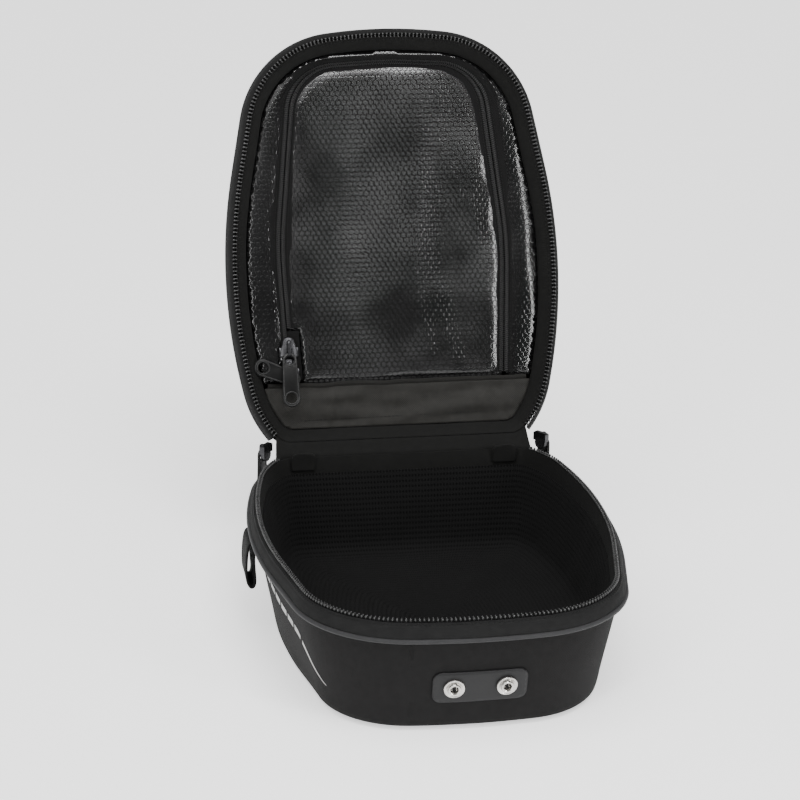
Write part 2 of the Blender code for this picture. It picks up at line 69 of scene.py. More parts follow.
# Offsets of the pocket's line past SEAM count only SQUEEZE of themselves along Y
SEAM = 0.2
SQUEEZE = 0.5
SLIDER_H = 8.5
# The tub's wall leans in between these (offset, height) points
WALL_TOP = (0.9, -14.4)
WALL_FOOT = (-8.0, -58.0)
WALL_SLOPE = (WALL_TOP[0] - WALL_FOOT[0]) / (WALL_TOP[1] - WALL_FOOT[1])
# The snap patch's middle on the front wall, and each socket's distance from it
PATCH_X = 3.0
PATCH_HEIGHT = -45.0
SNAP_SPACING = 15.0

# Right half of the zip line, front to back: corner x, corner y, fillet radius, steps
ZIP_CORNERS = (
    (0.0, -133.0, 300.0, 8),
    (83.7, -123.1, 62.7, 30),
    (112.7, 26.4, 340.0, 22),
    (93.9, 114.2, 70.0, 14),
    (78.8, 133.5, 14.0, 8),
)
SMALLEST_RADIUS = 10.0
# The furthest inset that doesn't cross itself
SAFE_INSET = 20.0
# Right half of the pocket zip's centre line, hinge end to front, in the same form
POCKET_CORNERS = (
    (70.5, POCKET_END, 0.0, 0),
    (74.5, 5.0, 250.0, 10),
    (62.0, -110.5, 32.0, 18),
    (0.0, -114.0, 300.0, 8),
)

# Flat sizes of the sheets on the lid, in metres
FILM_CELL = 0.0036
# The dashes printed on the left wall
PRINT_START = 2.0
PRINT_PITCH = 11.5
PRINT_GAP = 2.4
PRINT_DASHES = 6
PRINT_WIDTH = 5.0
STRIPE_LENGTH = 25.0
# Places towards the front, and the height of the row's middle at each
PRINT_ROW = ((0.0, 62.0, 91.0), (-26.0, -36.3, -56.0))

# The camera: azimuth, elevation and roll in degrees, then metres, then the lens in millimetres
CAMERA_ANGLES = (-9.216, 19.674, 0.749)
CAMERA_AIM = (-0.0244, 0.0, 0.1568)
CAMERA_DISTANCE = 1.4921
CAMERA_LENS = 113.9


# ---------------------------------------------------------------- lines


def rounded(corners, closed):
    """A polygon's points with filleted corners, each (x, y, radius, steps)."""
    points = []
    for i, (x, y, radius, steps) in enumerate(corners):
        corner = Vector((x, y))
        if not closed and i in (0, len(corners) - 1):
            points.append(corner)
            continue
        before = (corner - Vector(corners[i - 1][:2])).normalized()
        after = (Vector(corners[(i + 1) % len(corners)][:2]) - corner).normalized()
        turn = math.atan2(before.x * after.y - before.y * after.x, before.dot(after))
        start = corner - before * radius * math.tan(abs(turn) / 2)
        centre = start + Vector((-before.y, before.x)) * math.copysign(radius, turn)
        for step in range(steps + 1):
            points.append(centre + Matrix.Rotation(turn * step / steps, 2) @ (start - centre))
    return np.array([tuple(p) for p in points])


def mirrored(corners, skip_last=False):
    """Corners of the right half, followed by the left half's."""
    back = corners[:0:-1] if not skip_last else corners[-2::-1]
    return list(corners) + [(-x, y, r, n) for x, y, r, n in back]


def filleted_outline(front, side, rear):
    """The zip line moved outwards by its own amount at the front, sides and rear."""
    full = mirrored(ZIP_CORNERS)
    back = len(ZIP_CORNERS) - 1
    moves = [front] + [side] * (back - 2) + [(side + rear) / 2, rear, (side + rear) / 2]
    moves += [side] * (back - 2) + [front]
    moved = []
    for i, (x, y, radius, steps) in enumerate(full):
        here = Vector((x, y))
        into = (here - Vector(full[i - 1][:2])).normalized()
        out = (Vector(full[(i + 1) % len(full)][:2]) - here).normalized()
        a, b = moves[i - 1], moves[i]
        cross = into.x * out.y - into.y * out.x
        corner = here + Vector((b * into.x - a * out.x, b * into.y - a * out.y)) / cross
        moved.append((corner.x, corner.y, max(radius + min(a, b), SMALLEST_RADIUS), steps))
    return rounded(moved, closed=True)


def spread(points, counts, closed):
    """Extra points on each stretch of a line, so that every offset of it has as many."""
    ends = np.roll(points, -1, axis=0) if closed else points[1:]
    out = []
    for a, b, count in zip(points, ends, counts):
        out += [a + (b - a) * k / count for k in range(count)]
    if not closed:
        out.append(points[-1])
    return np.array(out)


def stretch_counts(points, closed, step=3.0):
    """How many steps each stretch of a line is cut into."""
    points = np.asarray(points, float)
    ends = np.roll(points, -1, axis=0) if closed else points[1:]
    return [max(1, round(float(np.linalg.norm(b - a)) / step)) for a, b in zip(points, ends)]


ZIP_COUNTS = stretch_counts(filleted_outline(0.0, 0.0, 0.0), True)
_STEPS = [steps + 1 for _, _, _, steps in mirrored(ZIP_CORNERS)]
_BACK = len(ZIP_CORNERS) - 1
RIGHT_END = sum(ZIP_COUNTS[: sum(_STEPS[:_BACK])])
LEFT_END = sum(ZIP_COUNTS[: sum(_STEPS[: _BACK + 2]) - 1])


def outline(front, side=None, rear=None, open_at_hinge=False):
    """The zip line's points, anticlockwise. Open, it runs from its left end to its right end."""
    side = front if side is None else side
    rear = side if rear is None else rear
    points = spread(filleted_outline(front, side, rear), ZIP_COUNTS, True)
    if open_at_hinge:
        return np.concatenate([points[LEFT_END:], points[: RIGHT_END + 1]])
    return points


def level(front, side, rear):
    """A closed ring for a shell. Past SAFE_INSET the outline would cross itself, so it shrinks."""
    if side >= -SAFE_INSET:
        return outline(front, side, rear)
    return outline(-SAFE_INSET) * (1.0 + (side + SAFE_INSET) / 100.0)


def pocket_line(offset, step=3.0):
    """The pocket zip's line from its right end round the front to its left end."""
    points = rounded(mirrored(POCKET_CORNERS, skip_last=True), closed=False)
    points = spread(points, stretch_counts(points, False, step), False)
    along = np.gradient(points, axis=0)
    along /= np.linalg.norm(along, axis=1)[:, None]
    normal = np.stack([-along[:, 1], along[:, 0]], axis=1)
    seam = math.copysign(min(SEAM, abs(offset)), offset)
    moved = points + normal * seam + normal * (offset - seam) * np.array([1.0, SQUEEZE])
    moved[0, 1] = moved[-1, 1] = POCKET_END
    return moved


def pocket_leg_x(y):
    """X of the pocket zip's left leg at y."""
    (x0, y0), (x1, y1) = (corner[:2] for corner in POCKET_CORNERS[:2])
    return -(x0 + (x1 - x0) * (y0 - y) / (y0 - y1))


def lengths(points):
    """Distance along a line at each of its points."""
    steps = np.linalg.norm(np.diff(points, axis=0), axis=1)
    return np.concatenate([[0.0], np.cumsum(steps)])


def at_lengths(points, at):
    """The places on a 2D or 3D line at given distances along it."""
    along = lengths(points)
    return np.stack([np.interp(at, along, column) for column in points.T], axis=1)


def evenly(points, pitch):
    """Points and tangents along a line at an even pitch."""
    total = lengths(points)[-1]
    count = int(total / pitch)
    at = (np.arange(count) + 0.5) * total / count
    tangents = at_lengths(points, at + 0.5) - at_lengths(points, at - 0.5)
    return at_lengths(points, at), tangents / np.linalg.norm(tangents, axis=1)[:, None]


def edge_distance(polygon, x, y):
    """Distance from a point to a polygon's edge."""
    a, b = polygon, np.roll(polygon, -1, axis=0)
    ab = b - a
    dot = (x - a[:, 0]) * ab[:, 0] + (y - a[:, 1]) * ab[:, 1]
    t = np.clip(dot / (ab**2).sum(1).clip(1e-9), 0, 1)
    near = a + ab * t[:, None]
    return math.sqrt(((near[:, 0] - x) ** 2 + (near[:, 1] - y) ** 2).min())


def clear_of(polygon, x, y, margin):
    """Whether a point is inside a polygon and further than margin from its edge."""
    a, b = polygon, np.roll(polygon, -1, axis=0)
    above = (a[:, 1] > y) != (b[:, 1] > y)
    with np.errstate(divide="ignore", invalid="ignore"):
        cross = a[:, 0] + (y - a[:, 1]) * (b[:, 0] - a[:, 0]) / (b[:, 1] - a[:, 1])
    inside = np.count_nonzero(above & (x < cross)) % 2 == 1
    return inside and edge_distance(polygon, x, y) > margin


def softened(profile, closed, rounds=2):
    """A profile with its corners cut, so that a loft of it looks sewn and not machined."""
    points = [np.array(p, float) for p in profile]
    for _ in range(rounds):
        cut = [] if closed else [points[0]]
        pairs = zip(points, points[1:] + points[:1] if closed else points[1:])
        for a, b in pairs:
            cut += [a * 0.75 + b * 0.25, a * 0.25 + b * 0.75]
        points = cut if closed else cut + [points[-1]]
    return points


# ---------------------------------------------------------------- meshes


def mesh_object(name, shape, material, body, place=STILL, sharp=50.0):
    """A piece from (vertices, faces, uvs) in millimetres, put in its place and riding on its body."""
    vertices, faces, *uvs = shape
    mesh = bpy.data.meshes.new(name)
    mesh.from_pydata([tuple(v) for v in vertices], [], [tuple(int(i) for i in f) for f in faces])
    if uvs:
        layer = mesh.uv_layers.new(name="UVMap")
        corners = np.empty(len(mesh.loops), np.int32)
        mesh.loops.foreach_get("vertex_index", corners)
        layer.data.foreach_set("uv", (np.asarray(uvs[0])[corners] * MM).astype(np.float32).ravel())
    return finished(name, mesh, material, body, place, sharp)


def grid_faces(rows, count, close_rows=False, close_ring=False):
    """Four-sided faces over rows of count vertices each."""
    faces = []
    for r in range(rows if close_rows else rows - 1):
        a, b = r * count, (r + 1) % rows * count
        for c in range(count if close_ring else count - 1):
            d = (c + 1) % count
            faces.append((a + c, a + d, b + d, b + c))
    return faces


def finished(name, mesh, material, body, place=STILL, sharp=50.0):
    """An object from a mesh in millimetres, with its edges marked smooth or sharp."""
    bm = bmesh.new()
    bm.from_mesh(mesh)
    bmesh.ops.remove_doubles(bm, verts=bm.verts, dist=1e-4)
    bmesh.ops.recalc_face_normals(bm, faces=bm.faces)
    limit = math.radians(sharp)
    for edge in bm.edges:
        edge.smooth = len(edge.link_faces) != 2 or edge.calc_face_angle(0.0) < limit
    for face in bm.faces:
        face.smooth = True
    bm.transform(Matrix.Scale(MM, 4) @ place)
    bm.to_mesh(mesh)
    bm.free()
    mesh.materials.append(material)
    obj = bpy.data.objects.new(name, mesh)
    bpy.context.scene.collection.objects.link(obj)
    if body:
        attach(obj, body)
    return obj


def stands_for(obj, slot, *nodes):
    """Hides the CAD nodes that a piece replaces. The piece and its material slot are not used."""
    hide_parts(*nodes)


def waves(point, size, seed):
    """Smooth noise with features of a given size in millimetres."""
    return noise.noise(Vector(point) / size + Vector((seed, 0.37 * seed, 0.0)))


def skin(name, profile, material, body, place=STILL, closed=True, open_at_hinge=True, rounds=2,
         bumpy=0.0, size=26.0, cap=False, rear_limit=None):
    """A loft of a profile of (front, side, height), or (offset, height), round the zip line."""
    profile = softened([(point[0], *point[-2:]) for point in profile], closed, rounds)
    rings = []
    for front, side, height in profile:
        rear = side if rear_limit is None else min(side, rear_limit)
        ring = outline(front, side, rear, True) if open_at_hinge else level(front, side, rear)
        rings.append(np.column_stack([ring, np.full(len(ring), ZIP + height)]))
    rings = np.array(rings)
    if bumpy:
        across = np.gradient(rings, axis=0)
        around = np.gradient(rings, axis=1)
        normals = np.cross(across, around)
        normals /= np.linalg.norm(normals, axis=2)[:, :, None] + 1e-9
        for r in range(len(rings)):
            for c in range(rings.shape[1]):
                rings[r, c] += normals[r, c] * bumpy * waves(rings[r, c], size, 3.0)
    count = rings.shape[1]
    wide = np.concatenate([[0.0], np.cumsum(np.linalg.norm(np.diff(rings[:, 0], axis=0), axis=1))])
    line = outline(0.0, open_at_hinge=open_at_hinge)
    along = lengths(line)
    uvs = [(along[c], wide[r]) for r in range(len(rings)) for c in range(count)]
    faces = grid_faces(len(rings), count, closed, not open_at_hinge)
    if closed and open_at_hinge:
        faces.append([r * count for r in range(len(rings))])
        faces.append([r * count + count - 1 for r in range(len(rings))])
    if cap:
        faces.append([(len(rings) - 1) * count + c for c in range(count)])
    return mesh_object(name, (rings.reshape(-1, 3), faces, uvs), material, body, place)


def solidified(obj, thickness, offset=-1.0):
    """Gives a single sheet a thickness in millimetres and applies it."""
    modifier = obj.modifiers.new("thickness", "SOLIDIFY")
    modifier.thickness = thickness * MM
    modifier.offset = offset
    return applied(obj)


def applied(obj):
    """Turns an object's modifiers into its mesh."""
    graph = bpy.context.evaluated_depsgraph_get()
    mesh = bpy.data.meshes.new_from_object(obj.evaluated_get(graph))
    obj.modifiers.clear()
    obj.data = mesh
    return obj


def tube(points, radius, closed=False, sides=10, flat=1.0):
    """Vertices, faces and UVs of a tube along 3D points in millimetres."""
    points = np.asarray(points, float)
    ends = (np.roll(points, -1, 0) - np.roll(points, 1, 0)) if closed else np.gradient(points, axis=0)
    tangents = ends / np.linalg.norm(ends, axis=1)[:, None]
    up = np.array([0.0, 0.0, 1.0])
    if abs(tangents[0] @ up) > 0.9:
        up = np.array([1.0, 0.0, 0.0])
    vertices, uvs, along = [], [], lengths(points)
    for i, (point, tangent) in enumerate(zip(points, tangents)):
        side = np.cross(tangent, up)
        side /= np.linalg.norm(side)
        over = np.cross(side, tangent)
        up = over
        for k in range(sides):
            turn = 2 * math.pi * k / sides
            vertices.append(point + radius * (math.cos(turn) * side + flat * math.sin(turn) * over))
            uvs.append((along[i], radius * turn))
    count = len(points)
    faces = grid_faces(count, sides, closed, True)
    if not closed:
        faces.append(list(range(sides)))
        faces.append([(count - 1) * sides + k for k in range(sides)][::-1])
    return vertices, faces, uvs


def gathered(shapes):
    """Several (vertices, faces, uvs) as one."""
    vertices, faces, uvs = [], [], []
    for part in shapes:
        start = len(vertices)
        vertices += [tuple(v) for v in part[0]]
        faces += [[i + start for i in face] for face in part[1]]
        uvs += list(part[2]) if len(part) > 2 else [(v[0], v[1]) for v in part[0]]
    return vertices, faces, uvs


def brick(low, high, bevel):
    """A box with all its edges cut, as (vertices, faces)."""
    bm = bmesh.new()
    bmesh.ops.create_cube(bm, size=1.0)
    size = [b - a for a, b in zip(low, high)]
    bmesh.ops.scale(bm, vec=size, verts=bm.verts)
    bmesh.ops.translate(bm, vec=[(a + b) / 2 for a, b in zip(low, high)], verts=bm.verts)
    bmesh.ops.bevel(bm, geom=bm.edges[:], offset=bevel, segments=1, affect="EDGES")
    bm.verts.index_update()
    shape = [v.co.copy() for v in bm.verts], [[v.index for v in f.verts] for f in bm.faces]
    bm.free()
    return shape


def copies(shape, frames):
    """The shape at each 4x4 frame, as one (vertices, faces, uvs)."""
    points = np.array([tuple(v) for v in shape[0]])
    vertices, faces = [], []
    for matrix in frames:
        start = len(vertices)
        m = np.array(matrix)
        vertices += list(points @ m[:3, :3].T + m[:3, 3])
        faces += [[i + start for i in face] for face in shape[1]]
    return vertices, faces, [(v[0], v[1]) for v in vertices]


def line_frames(points, tangents, z):
    """Frames on a flat line: X along it, Y to its left, Z up."""
    made = []
    for (x, y), (tx, ty) in zip(points, tangents):
        made.append(Matrix(((tx, -ty, 0, x), (ty, tx, 0, y), (0, 0, 1, z), (0, 0, 0, 1))))
    return made


def filled(polygon, spacing, height, wave=None):
    """A flat region filled with an even grid of triangles, as (vertices, faces, uvs)."""
    polygon = spread(np.asarray(polygon, float), stretch_counts(polygon, True), True)
    low, high = polygon.min(0), polygon.max(0)
    xs = np.arange(low[0] + spacing / 2, high[0], spacing)
    ys = np.arange(low[1] + spacing / 2, high[1], spacing * 0.866)
    inside = []
    for row, y in enumerate(ys):
        for x in xs + (spacing / 2 if row % 2 else 0.0):
            if clear_of(polygon, x, y, spacing * 0.45):
                inside.append((x, y))
    edge = [tuple(p) for p in polygon]
    found = delaunay_2d_cdt([Vector(p) for p in edge + inside], [], [list(range(len(edge)))], 1, 1e-4)
    flat, faces = found[0], found[2]
    vertices = [(p.x, p.y, height + (wave(p.x, p.y) if wave else 0.0)) for p in flat]
    return vertices, faces, [(p.x, p.y) for p in flat]


# ---------------------------------------------------------------- materials


def rgba(tone):
    """A colour from three numbers, or a grey from one."""
    return (*tone, 1.0) if isinstance(tone, tuple) else (tone, tone, tone, 1.0)


class Look:
    """A Principled material with its nodes made in short calls."""

    def __init__(self, name, color, roughness, **values):
        self.material = bpy.data.materials.new(name)
        self.material.use_nodes = True
        self.tree = self.material.node_tree
        self.shader = self.tree.nodes["Principled BSDF"]
        self.shader.inputs["Base Color"].default_value = rgba(color)
        self.shader.inputs["Roughness"].default_value = roughness
        for socket, value in values.items():
            self.shader.inputs[socket.replace("_", " ")].default_value = value

    def node(self, kind, inputs=(), **settings):
        made = self.tree.nodes.new(kind)
        for key, value in settings.items():
            setattr(made, key, value)
        for socket, value in dict(inputs).items():
            if isinstance(value, bpy.types.NodeSocket):
                self.tree.links.new(value, made.inputs[socket])
            else:
                made.inputs[socket].default_value = value
        return made

    def math(self, operation, a, b=0.0, c=0.0):
        return self.node("ShaderNodeMath", {0: a, 1: b, 2: c}, operation=operation).outputs[0]

    def add(self, a, b):
        return self.math("ADD", a, b)

    def times(self, a, b):
        return self.math("MULTIPLY", a, b)

    def scaled(self, a, factor, more):
        """a * factor + more."""
        return self.math("MULTIPLY_ADD", a, factor, more)

    def uv(self):
        found = self.node("ShaderNodeUVMap", uv_map="UVMap").outputs[0]
        split = self.node("ShaderNodeSeparateXYZ", {0: found})
        return found, split.outputs[0], split.outputs[1]

    def place(self):
        return self.node("ShaderNodeTexCoord").outputs["Object"]

    def noise(self, vector, scale, detail=3.0):
        inputs = {"Vector": vector, "Scale": scale, "Detail": detail}
        return self.node("ShaderNodeTexNoise", inputs).outputs["Fac"]

    def ramp(self, fac, low, high, dark=0.0, light=1.0):
        inputs = {"Value": fac, "From Min": low, "From Max": high, "To Min": dark, "To Max": light}
        return self.node("ShaderNodeMapRange", inputs).outputs["Result"]

    def color(self, fac, dark, light):
        mix = self.node("ShaderNodeMix", data_type="RGBA")
        self.tree.links.new(fac, mix.inputs[0])
        mix.inputs[6].default_value = rgba(dark)
        mix.inputs[7].default_value = rgba(light)
        self.tree.links.new(mix.outputs[2], self.shader.inputs["Base Color"])
        return mix.outputs[2]

    def into(self, value, socket):
        self.tree.links.new(value, self.shader.inputs[socket])

    def bump(self, height, distance, strength=1.0):
        made = self.node("ShaderNodeBump", {"Height": height, "Distance": distance, "Strength": strength})
        self.tree.links.new(made.outputs[0], self.shader.inputs["Normal"])
        return self.material


def fabric(name, dark, light, pitch, roughness=0.85, depth=0.00012, sheen=0.02):
    """A plain weave on UVs in metres, with fibres, slubs and slow changes of tone."""
    look = Look(name, dark, roughness, Sheen_Weight=sheen, Sheen_Roughness=0.5, Specular_IOR_Level=0.10)
    place, u, v = look.uv()
    turn = 2 * math.pi / pitch
    warp = look.math("SINE", look.times(u, turn))
    weft = look.math("SINE", look.times(v, turn))
    weave = look.scaled(look.times(warp, weft), 0.5, 0.5)
    fibres = look.noise(place, 2600.0, 2.0)
    slubs = look.noise(look.place(), 240.0, 4.0)
    tone = look.noise(look.place(), 16.0, 4.0)
    fac = look.scaled(weave, 0.35, look.times(fibres, 0.30))
    fac = look.add(fac, look.scaled(slubs, 0.35, look.times(tone, 0.25)))
    look.color(look.ramp(fac, 0.30, 0.95), dark, light)
    look.into(look.ramp(tone, 0.3, 0.7, roughness - 0.06, roughness + 0.06), "Roughness")
    height = look.scaled(fibres, 0.5, weave)
    return look.bump(height, depth)


def knit(name, dark, light, pitch):
    """Spacer mesh: rows of small holes between raised yarns."""
    look = Look(name, dark, 0.9, Sheen_Weight=0.01, Specular_IOR_Level=0.12)
    place, u, v = look.uv()
    turn = 2 * math.pi / pitch
    a = look.math("SINE", look.times(u, turn))
    b = look.math("SINE", look.times(v, turn * 0.6))
    holes = look.ramp(look.add(a, b), 0.4, 1.5)
    fibres = look.noise(place, 1900.0, 2.0)
    tone = look.noise(look.place(), 20.0)
    yarn = look.math("SUBTRACT", look.scaled(tone, 0.4, fibres), holes)
    look.color(look.ramp(yarn, 0.0, 1.1), dark, light)
    return look.bump(yarn, 0.0003)


def tape(name, dark, light):
    """Zip tape: a fine herringbone."""
    look = Look(name, dark, 0.8, Sheen_Weight=0.02, Specular_IOR_Level=0.12)
    place, u, v = look.uv()
    fold = look.math("PINGPONG", v, 0.0016)
    twill = look.math("SINE", look.times(look.add(u, fold), 2 * math.pi / 0.0011))
    fibres = look.noise(place, 2400.0, 2.0)
    tone = look.noise(look.place(), 40.0)
    fac = look.scaled(twill, 0.2, look.scaled(fibres, 0.5, look.times(tone, 0.4)))
    look.color(look.ramp(fac, 0.15, 0.75), dark, light)
    return look.bump(look.scaled(fibres, 0.4, twill), 0.00012)


def metal(name, dark, light, roughness, metallic=1.0, scratch=0.00002):
    look = Look(name, dark, roughness, Metallic=metallic)
    marks = look.noise(look.place(), 900.0, 5.0)
    cloud = look.noise(look.place(), 120.0, 3.0)
    look.color(look.ramp(cloud, 0.3, 0.7), dark, light)
    look.into(look.ramp(marks, 0.3, 0.7, roughness - 0.08, roughness + 0.12), "Roughness")
    return look.bump(marks, scratch)


def smooth(name, dark, light, roughness, grain=900.0, depth=0.00005, **values):
    """A moulded or coated surface with a fine grain."""
    look = Look(name, dark, roughness, **values)
    fine = look.noise(look.place(), grain, 4.0)
    cloud = look.noise(look.place(), 30.0, 4.0)
    look.color(look.ramp(look.scaled(fine, 0.5, cloud), 0.5, 1.0), dark, light)
    look.into(look.ramp(cloud, 0.3, 0.7, roughness - 0.05, roughness + 0.08), "Roughness")
    return look.bump(fine, depth)


def honeycomb_film(name, cell, dark, light):
    """Clear film with a printed net of hexagons and fine dents; its blotchy base tone is painted reflection
    over the dark space behind it, and its roughness varies a little.
    """
    look = Look(name, 0.01, 0.16, Specular_IOR_Level=0.45)
    place, u, v = look.uv()
    tall = cell * math.sqrt(3.0)
    near = []
    for shift in (0.0, 0.5):
        x = look.math("SUBTRACT", look.math("WRAP", look.add(u, shift * cell), cell, 0.0), cell / 2)
        y = look.math("SUBTRACT", look.math("WRAP", look.add(v, shift * tall), tall, 0.0), tall / 2)
        x = look.math("DIVIDE", look.math("ABSOLUTE", x), cell / 2)
        y = look.math("DIVIDE", look.math("ABSOLUTE", y), cell / 2)
        slant = look.scaled(x, 0.5, look.times(y, math.sqrt(0.75)))
        near.append(look.math("MAXIMUM", x, slant))
    line = look.ramp(look.math("MINIMUM", *near), 0.74, 0.90)
    haze_and_reflection = look.noise(look.place(), 22.0, 4.0)
    dust = look.noise(look.place(), 420.0, 4.0)
    # The blotchy base tone, from dark to light, is painted reflection over the dark space behind the film.
    clear = look.color(look.ramp(haze_and_reflection, 0.35, 0.75), dark, light)
    mix = look.node("ShaderNodeMix", {0: line, 6: clear}, data_type="RGBA")
    mix.inputs[7].default_value = rgba(0.001)
    look.into(mix.outputs[2], "Base Color")
    look.into(look.ramp(line, 0.0, 1.0, 0.82, 0.98), "Alpha")
    look.into(look.ramp(haze_and_reflection, 0.3, 0.7, 0.10, 0.20), "Roughness")
    height = look.scaled(dust, 0.2, look.times(line, -0.5))
    return look.bump(height, 0.00008)


SHELL = fabric("shell_fabric", 0.003, (0.0135, 0.013, 0.013), 0.0009)
BAND = fabric("band_fabric", 0.0039, 0.0154, 0.0008)
FACING = fabric("facing_fabric", (0.0031, 0.0031, 0.003), (0.0099, 0.0099, 0.0093), 0.0006, 0.8, 0.00006)
LINING = knit("knit_lining", 0.001, 0.007, 0.0021)
TAPE = tape("zip_tape", 0.0015, 0.0066)
TEETH = smooth("zip_teeth", 0.0135, 0.0338, 0.26, 1500.0, 0.00002)
COIL = smooth("pocket_coil", 0.003, 0.0084, 0.42, 1500.0, 0.00002, Specular_IOR_Level=0.35)
PIPING = fabric("piping_tape", (0.0174, 0.0174, 0.018), (0.0341, 0.0341, 0.0353), 0.0006, 0.55, 0.00005, 0.05)
THREAD = smooth("thread", 0.0016, 0.0056, 0.7, 2500.0, Specular_IOR_Level=0.2)
WEBBING = tape("webbing", 0.0018, 0.0072)
NYLON = fabric("nylon_cloth", (0.006, 0.0058, 0.0053), (0.027, 0.0262, 0.0238), 0.0013, 0.5, 0.00014, 0.02)
BINDING = tape("binding_tape", (0.0053, 0.0053, 0.0045), (0.0195, 0.0188, 0.0173))
RUBBER_DARK = (0.0045, 0.0045, 0.0048)
RUBBER_LIGHT = (0.008, 0.008, 0.0085)
RUBBER = smooth("patch_rubber", RUBBER_DARK, RUBBER_LIGHT, 0.5, 700.0, 0.00003, Specular_IOR_Level=0.28)
SNAP = metal("snap_nickel", (0.42, 0.41, 0.39), (0.66, 0.64, 0.61), 0.2)
# A dark disc for the sockets' hollows: painted shade.
SNAP_WELL_SHADE = smooth("snap_well_shade", (0.004, 0.003, 0.003), (0.014, 0.012, 0.01), 0.5)
SLIDER = metal("slider_gunmetal", (0.022, 0.022, 0.024), (0.065, 0.065, 0.068), 0.3, 0.9)
PULL = smooth("pull_coat", 0.0015, 0.0045, 0.35, Specular_IOR_Level=0.2)
PULL_RIM = metal("pull_rim", 0.008, 0.03, 0.34, 0.4)
# Both films' base tones are painted reflection over the dark space behind; the border's tones are set darker
# than the flap's.
FILM = honeycomb_film("honeycomb_film", FILM_CELL, 0.006, 0.052)
BORDER_FILM = honeycomb_film("border_film", FILM_CELL, 0.0012, 0.0084)
PRINT = smooth("side_print", 0.3, (0.46, 0.46, 0.45), 0.6, 1500.0)
GRIP = smooth("grip_rubber", 0.005, 0.012, 0.75, 500.0, 0.0002)
BOARD = smooth("board_plastic", 0.01, 0.018, 0.55)


# ---------------------------------------------------------------- the tub


def stitches(name, line, height, pitch, length, radius, body, place=STILL):
    """A row of short thread loops on a flat line."""
    shape = brick((-length / 2, -radius, -radius), (length / 2, radius, radius), radius * 0.6)
    points, tangents = evenly(line, pitch)
    return mesh_object(name, copies(shape, line_frames(points, tangents, height)), THREAD, body, place)


def tooth():
    """One moulded tooth: a long outer block, a small inner one and the bridge below them."""
    outer = brick((-0.60, 0.1, -0.6), (0.60, 1.25, 1.0), 0.28)
    inner = brick((-0.45, -1.6, -0.6), (0.45, -0.75, 0.85), 0.3)
    bridge = brick((-0.38, -1.5, -0.9), (0.38, 1.1, 0.1), 0.15)
    return gathered([outer, inner, bridge])[:2]


def zip_chain(name, height, flip, body, place):
    """Half of the main zip's teeth, facing the other half."""
    points, tangents = evenly(outline(-0.7, open_at_hinge=True), TOOTH_PITCH)
    frames = []
    for (x, y), (tx, ty) in zip(points, tangents):
        frames.append(Matrix(((tx, ty, 0, x), (ty, -tx, 0, y), (0, 0, flip, height), (0, 0, 0, 1))))
    return mesh_object(name, copies(tooth(), frames), TEETH, body, place)


def make_tub():
    """The moulded tub with its lining, rim band, piping, facing and half of the main zip."""
    outer = [
        (5.6, 3.4, -12.6), (5.2, 3.2, -13.3), (3.4, 2.2, -13.8), (0.9, 0.8, -14.4), (0.3, 0.2, -16.5),
        (-1.0, -1.1, -24.0), (-4.4, -41.0), (-8.0, -58.0), (-9.3, -65.5),
        (-10.1, -69.0), (-10.9, -71.4), (-12.6, -72.8), (-16.0, -73.2), (-19.5, -73.3),
    ]
    tub = skin("tub_shell", outer, SHELL, None, closed=False, open_at_hinge=False, bumpy=0.35,
               size=34.0, cap=True, rear_limit=0.0)
    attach(solidified(tub, 2.6), "base")
    stands_for(tub, "shell_fabric", "base_shell")

    lining = [
        (-3.6, -13.2), (-4.4, -16.0), (-11.6, -56.0), (-13.4, -62.0),
        (-17.4, -66.0), (-22.5, -67.3), (-34.0, -67.4),
        (-60.0, -67.2), (-90.0, -67.2), (-112.0, -67.2),
    ]
    inner = skin("tub_lining", lining, LINING, None, closed=False, open_at_hinge=False, bumpy=0.8,
                 size=22.0, cap=True)
    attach(solidified(inner, 0.8), "base")
    stands_for(inner, "knit_lining", "base_lining")

    band = [
        (0.0, -2.6), (1.3, 1.0, -2.8), (2.6, 1.8, -3.5), (3.0, 2.0, -4.3), (4.6, 3.0, -5.4),
        (6.2, 4.0, -7.6), (7.0, 4.6, -9.6), (6.6, 4.3, -10.4), (3.2, 1.9, -10.2), (2.4, 1.2, -7.4),
        (0.2, 0.1, -4.4),
    ]
    rim = skin("rim_band_skin", band, BAND, "base", bumpy=0.35, size=18.0)
    stands_for(rim, "shell_fabric", "rim_band")
    stitches("rim_stitching", outline(2.3, 1.6, open_at_hinge=True), ZIP - 3.15, 2.6, 1.5, 0.26, "base")

    path = outline(6.9, 4.9, open_at_hinge=True)
    path = np.column_stack([path, np.full(len(path), ZIP - 11.3)])
    piping = mesh_object("rim_piping_cord", tube(path, 1.35, sides=12), PIPING, "base")
    stands_for(piping, "piping", "rim_piping")
    flange = [(6.0, 4.2, -10.9), (6.0, 4.2, -12.1), (3.4, 2.0, -12.6), (3.4, 2.0, -11.2)]
    skin("rim_piping_flange", flange, BAND, "base", rounds=1)

    facing = [(-1.4, -2.6), (-3.1, -13.6), (-3.9, -13.6), (-2.3, -2.8)]
    inside = skin("rim_facing_strip", facing, FACING, "base", open_at_hinge=False, rounds=1, bumpy=0.25)
    stands_for(inside, "facing", "rim_facing")
    strip = [(-1.1, -2.2), (-1.1, -9.4), (-0.2, -9.4), (-0.2, -2.2)]
    lower = skin("main_tape_lower", strip, TAPE, "base", rounds=1)
    stands_for(lower, "zip_tape", "zip_tape_lower")
    chain = zip_chain("main_teeth_lower", ZIP - 1.5, 1.0, "base", STILL)
    stands_for(chain, "zip_teeth", "zip_chain_lower")


def wall_line(height, near, across):
    """The tub's outline at a height, only where near is negative, sorted by across."""
    line = outline(WALL_FOOT[0] + (height - WALL_FOOT[1]) * WALL_SLOPE)
    line = line[line[:, near] < 0]
    return line[np.argsort(line[:, across])]


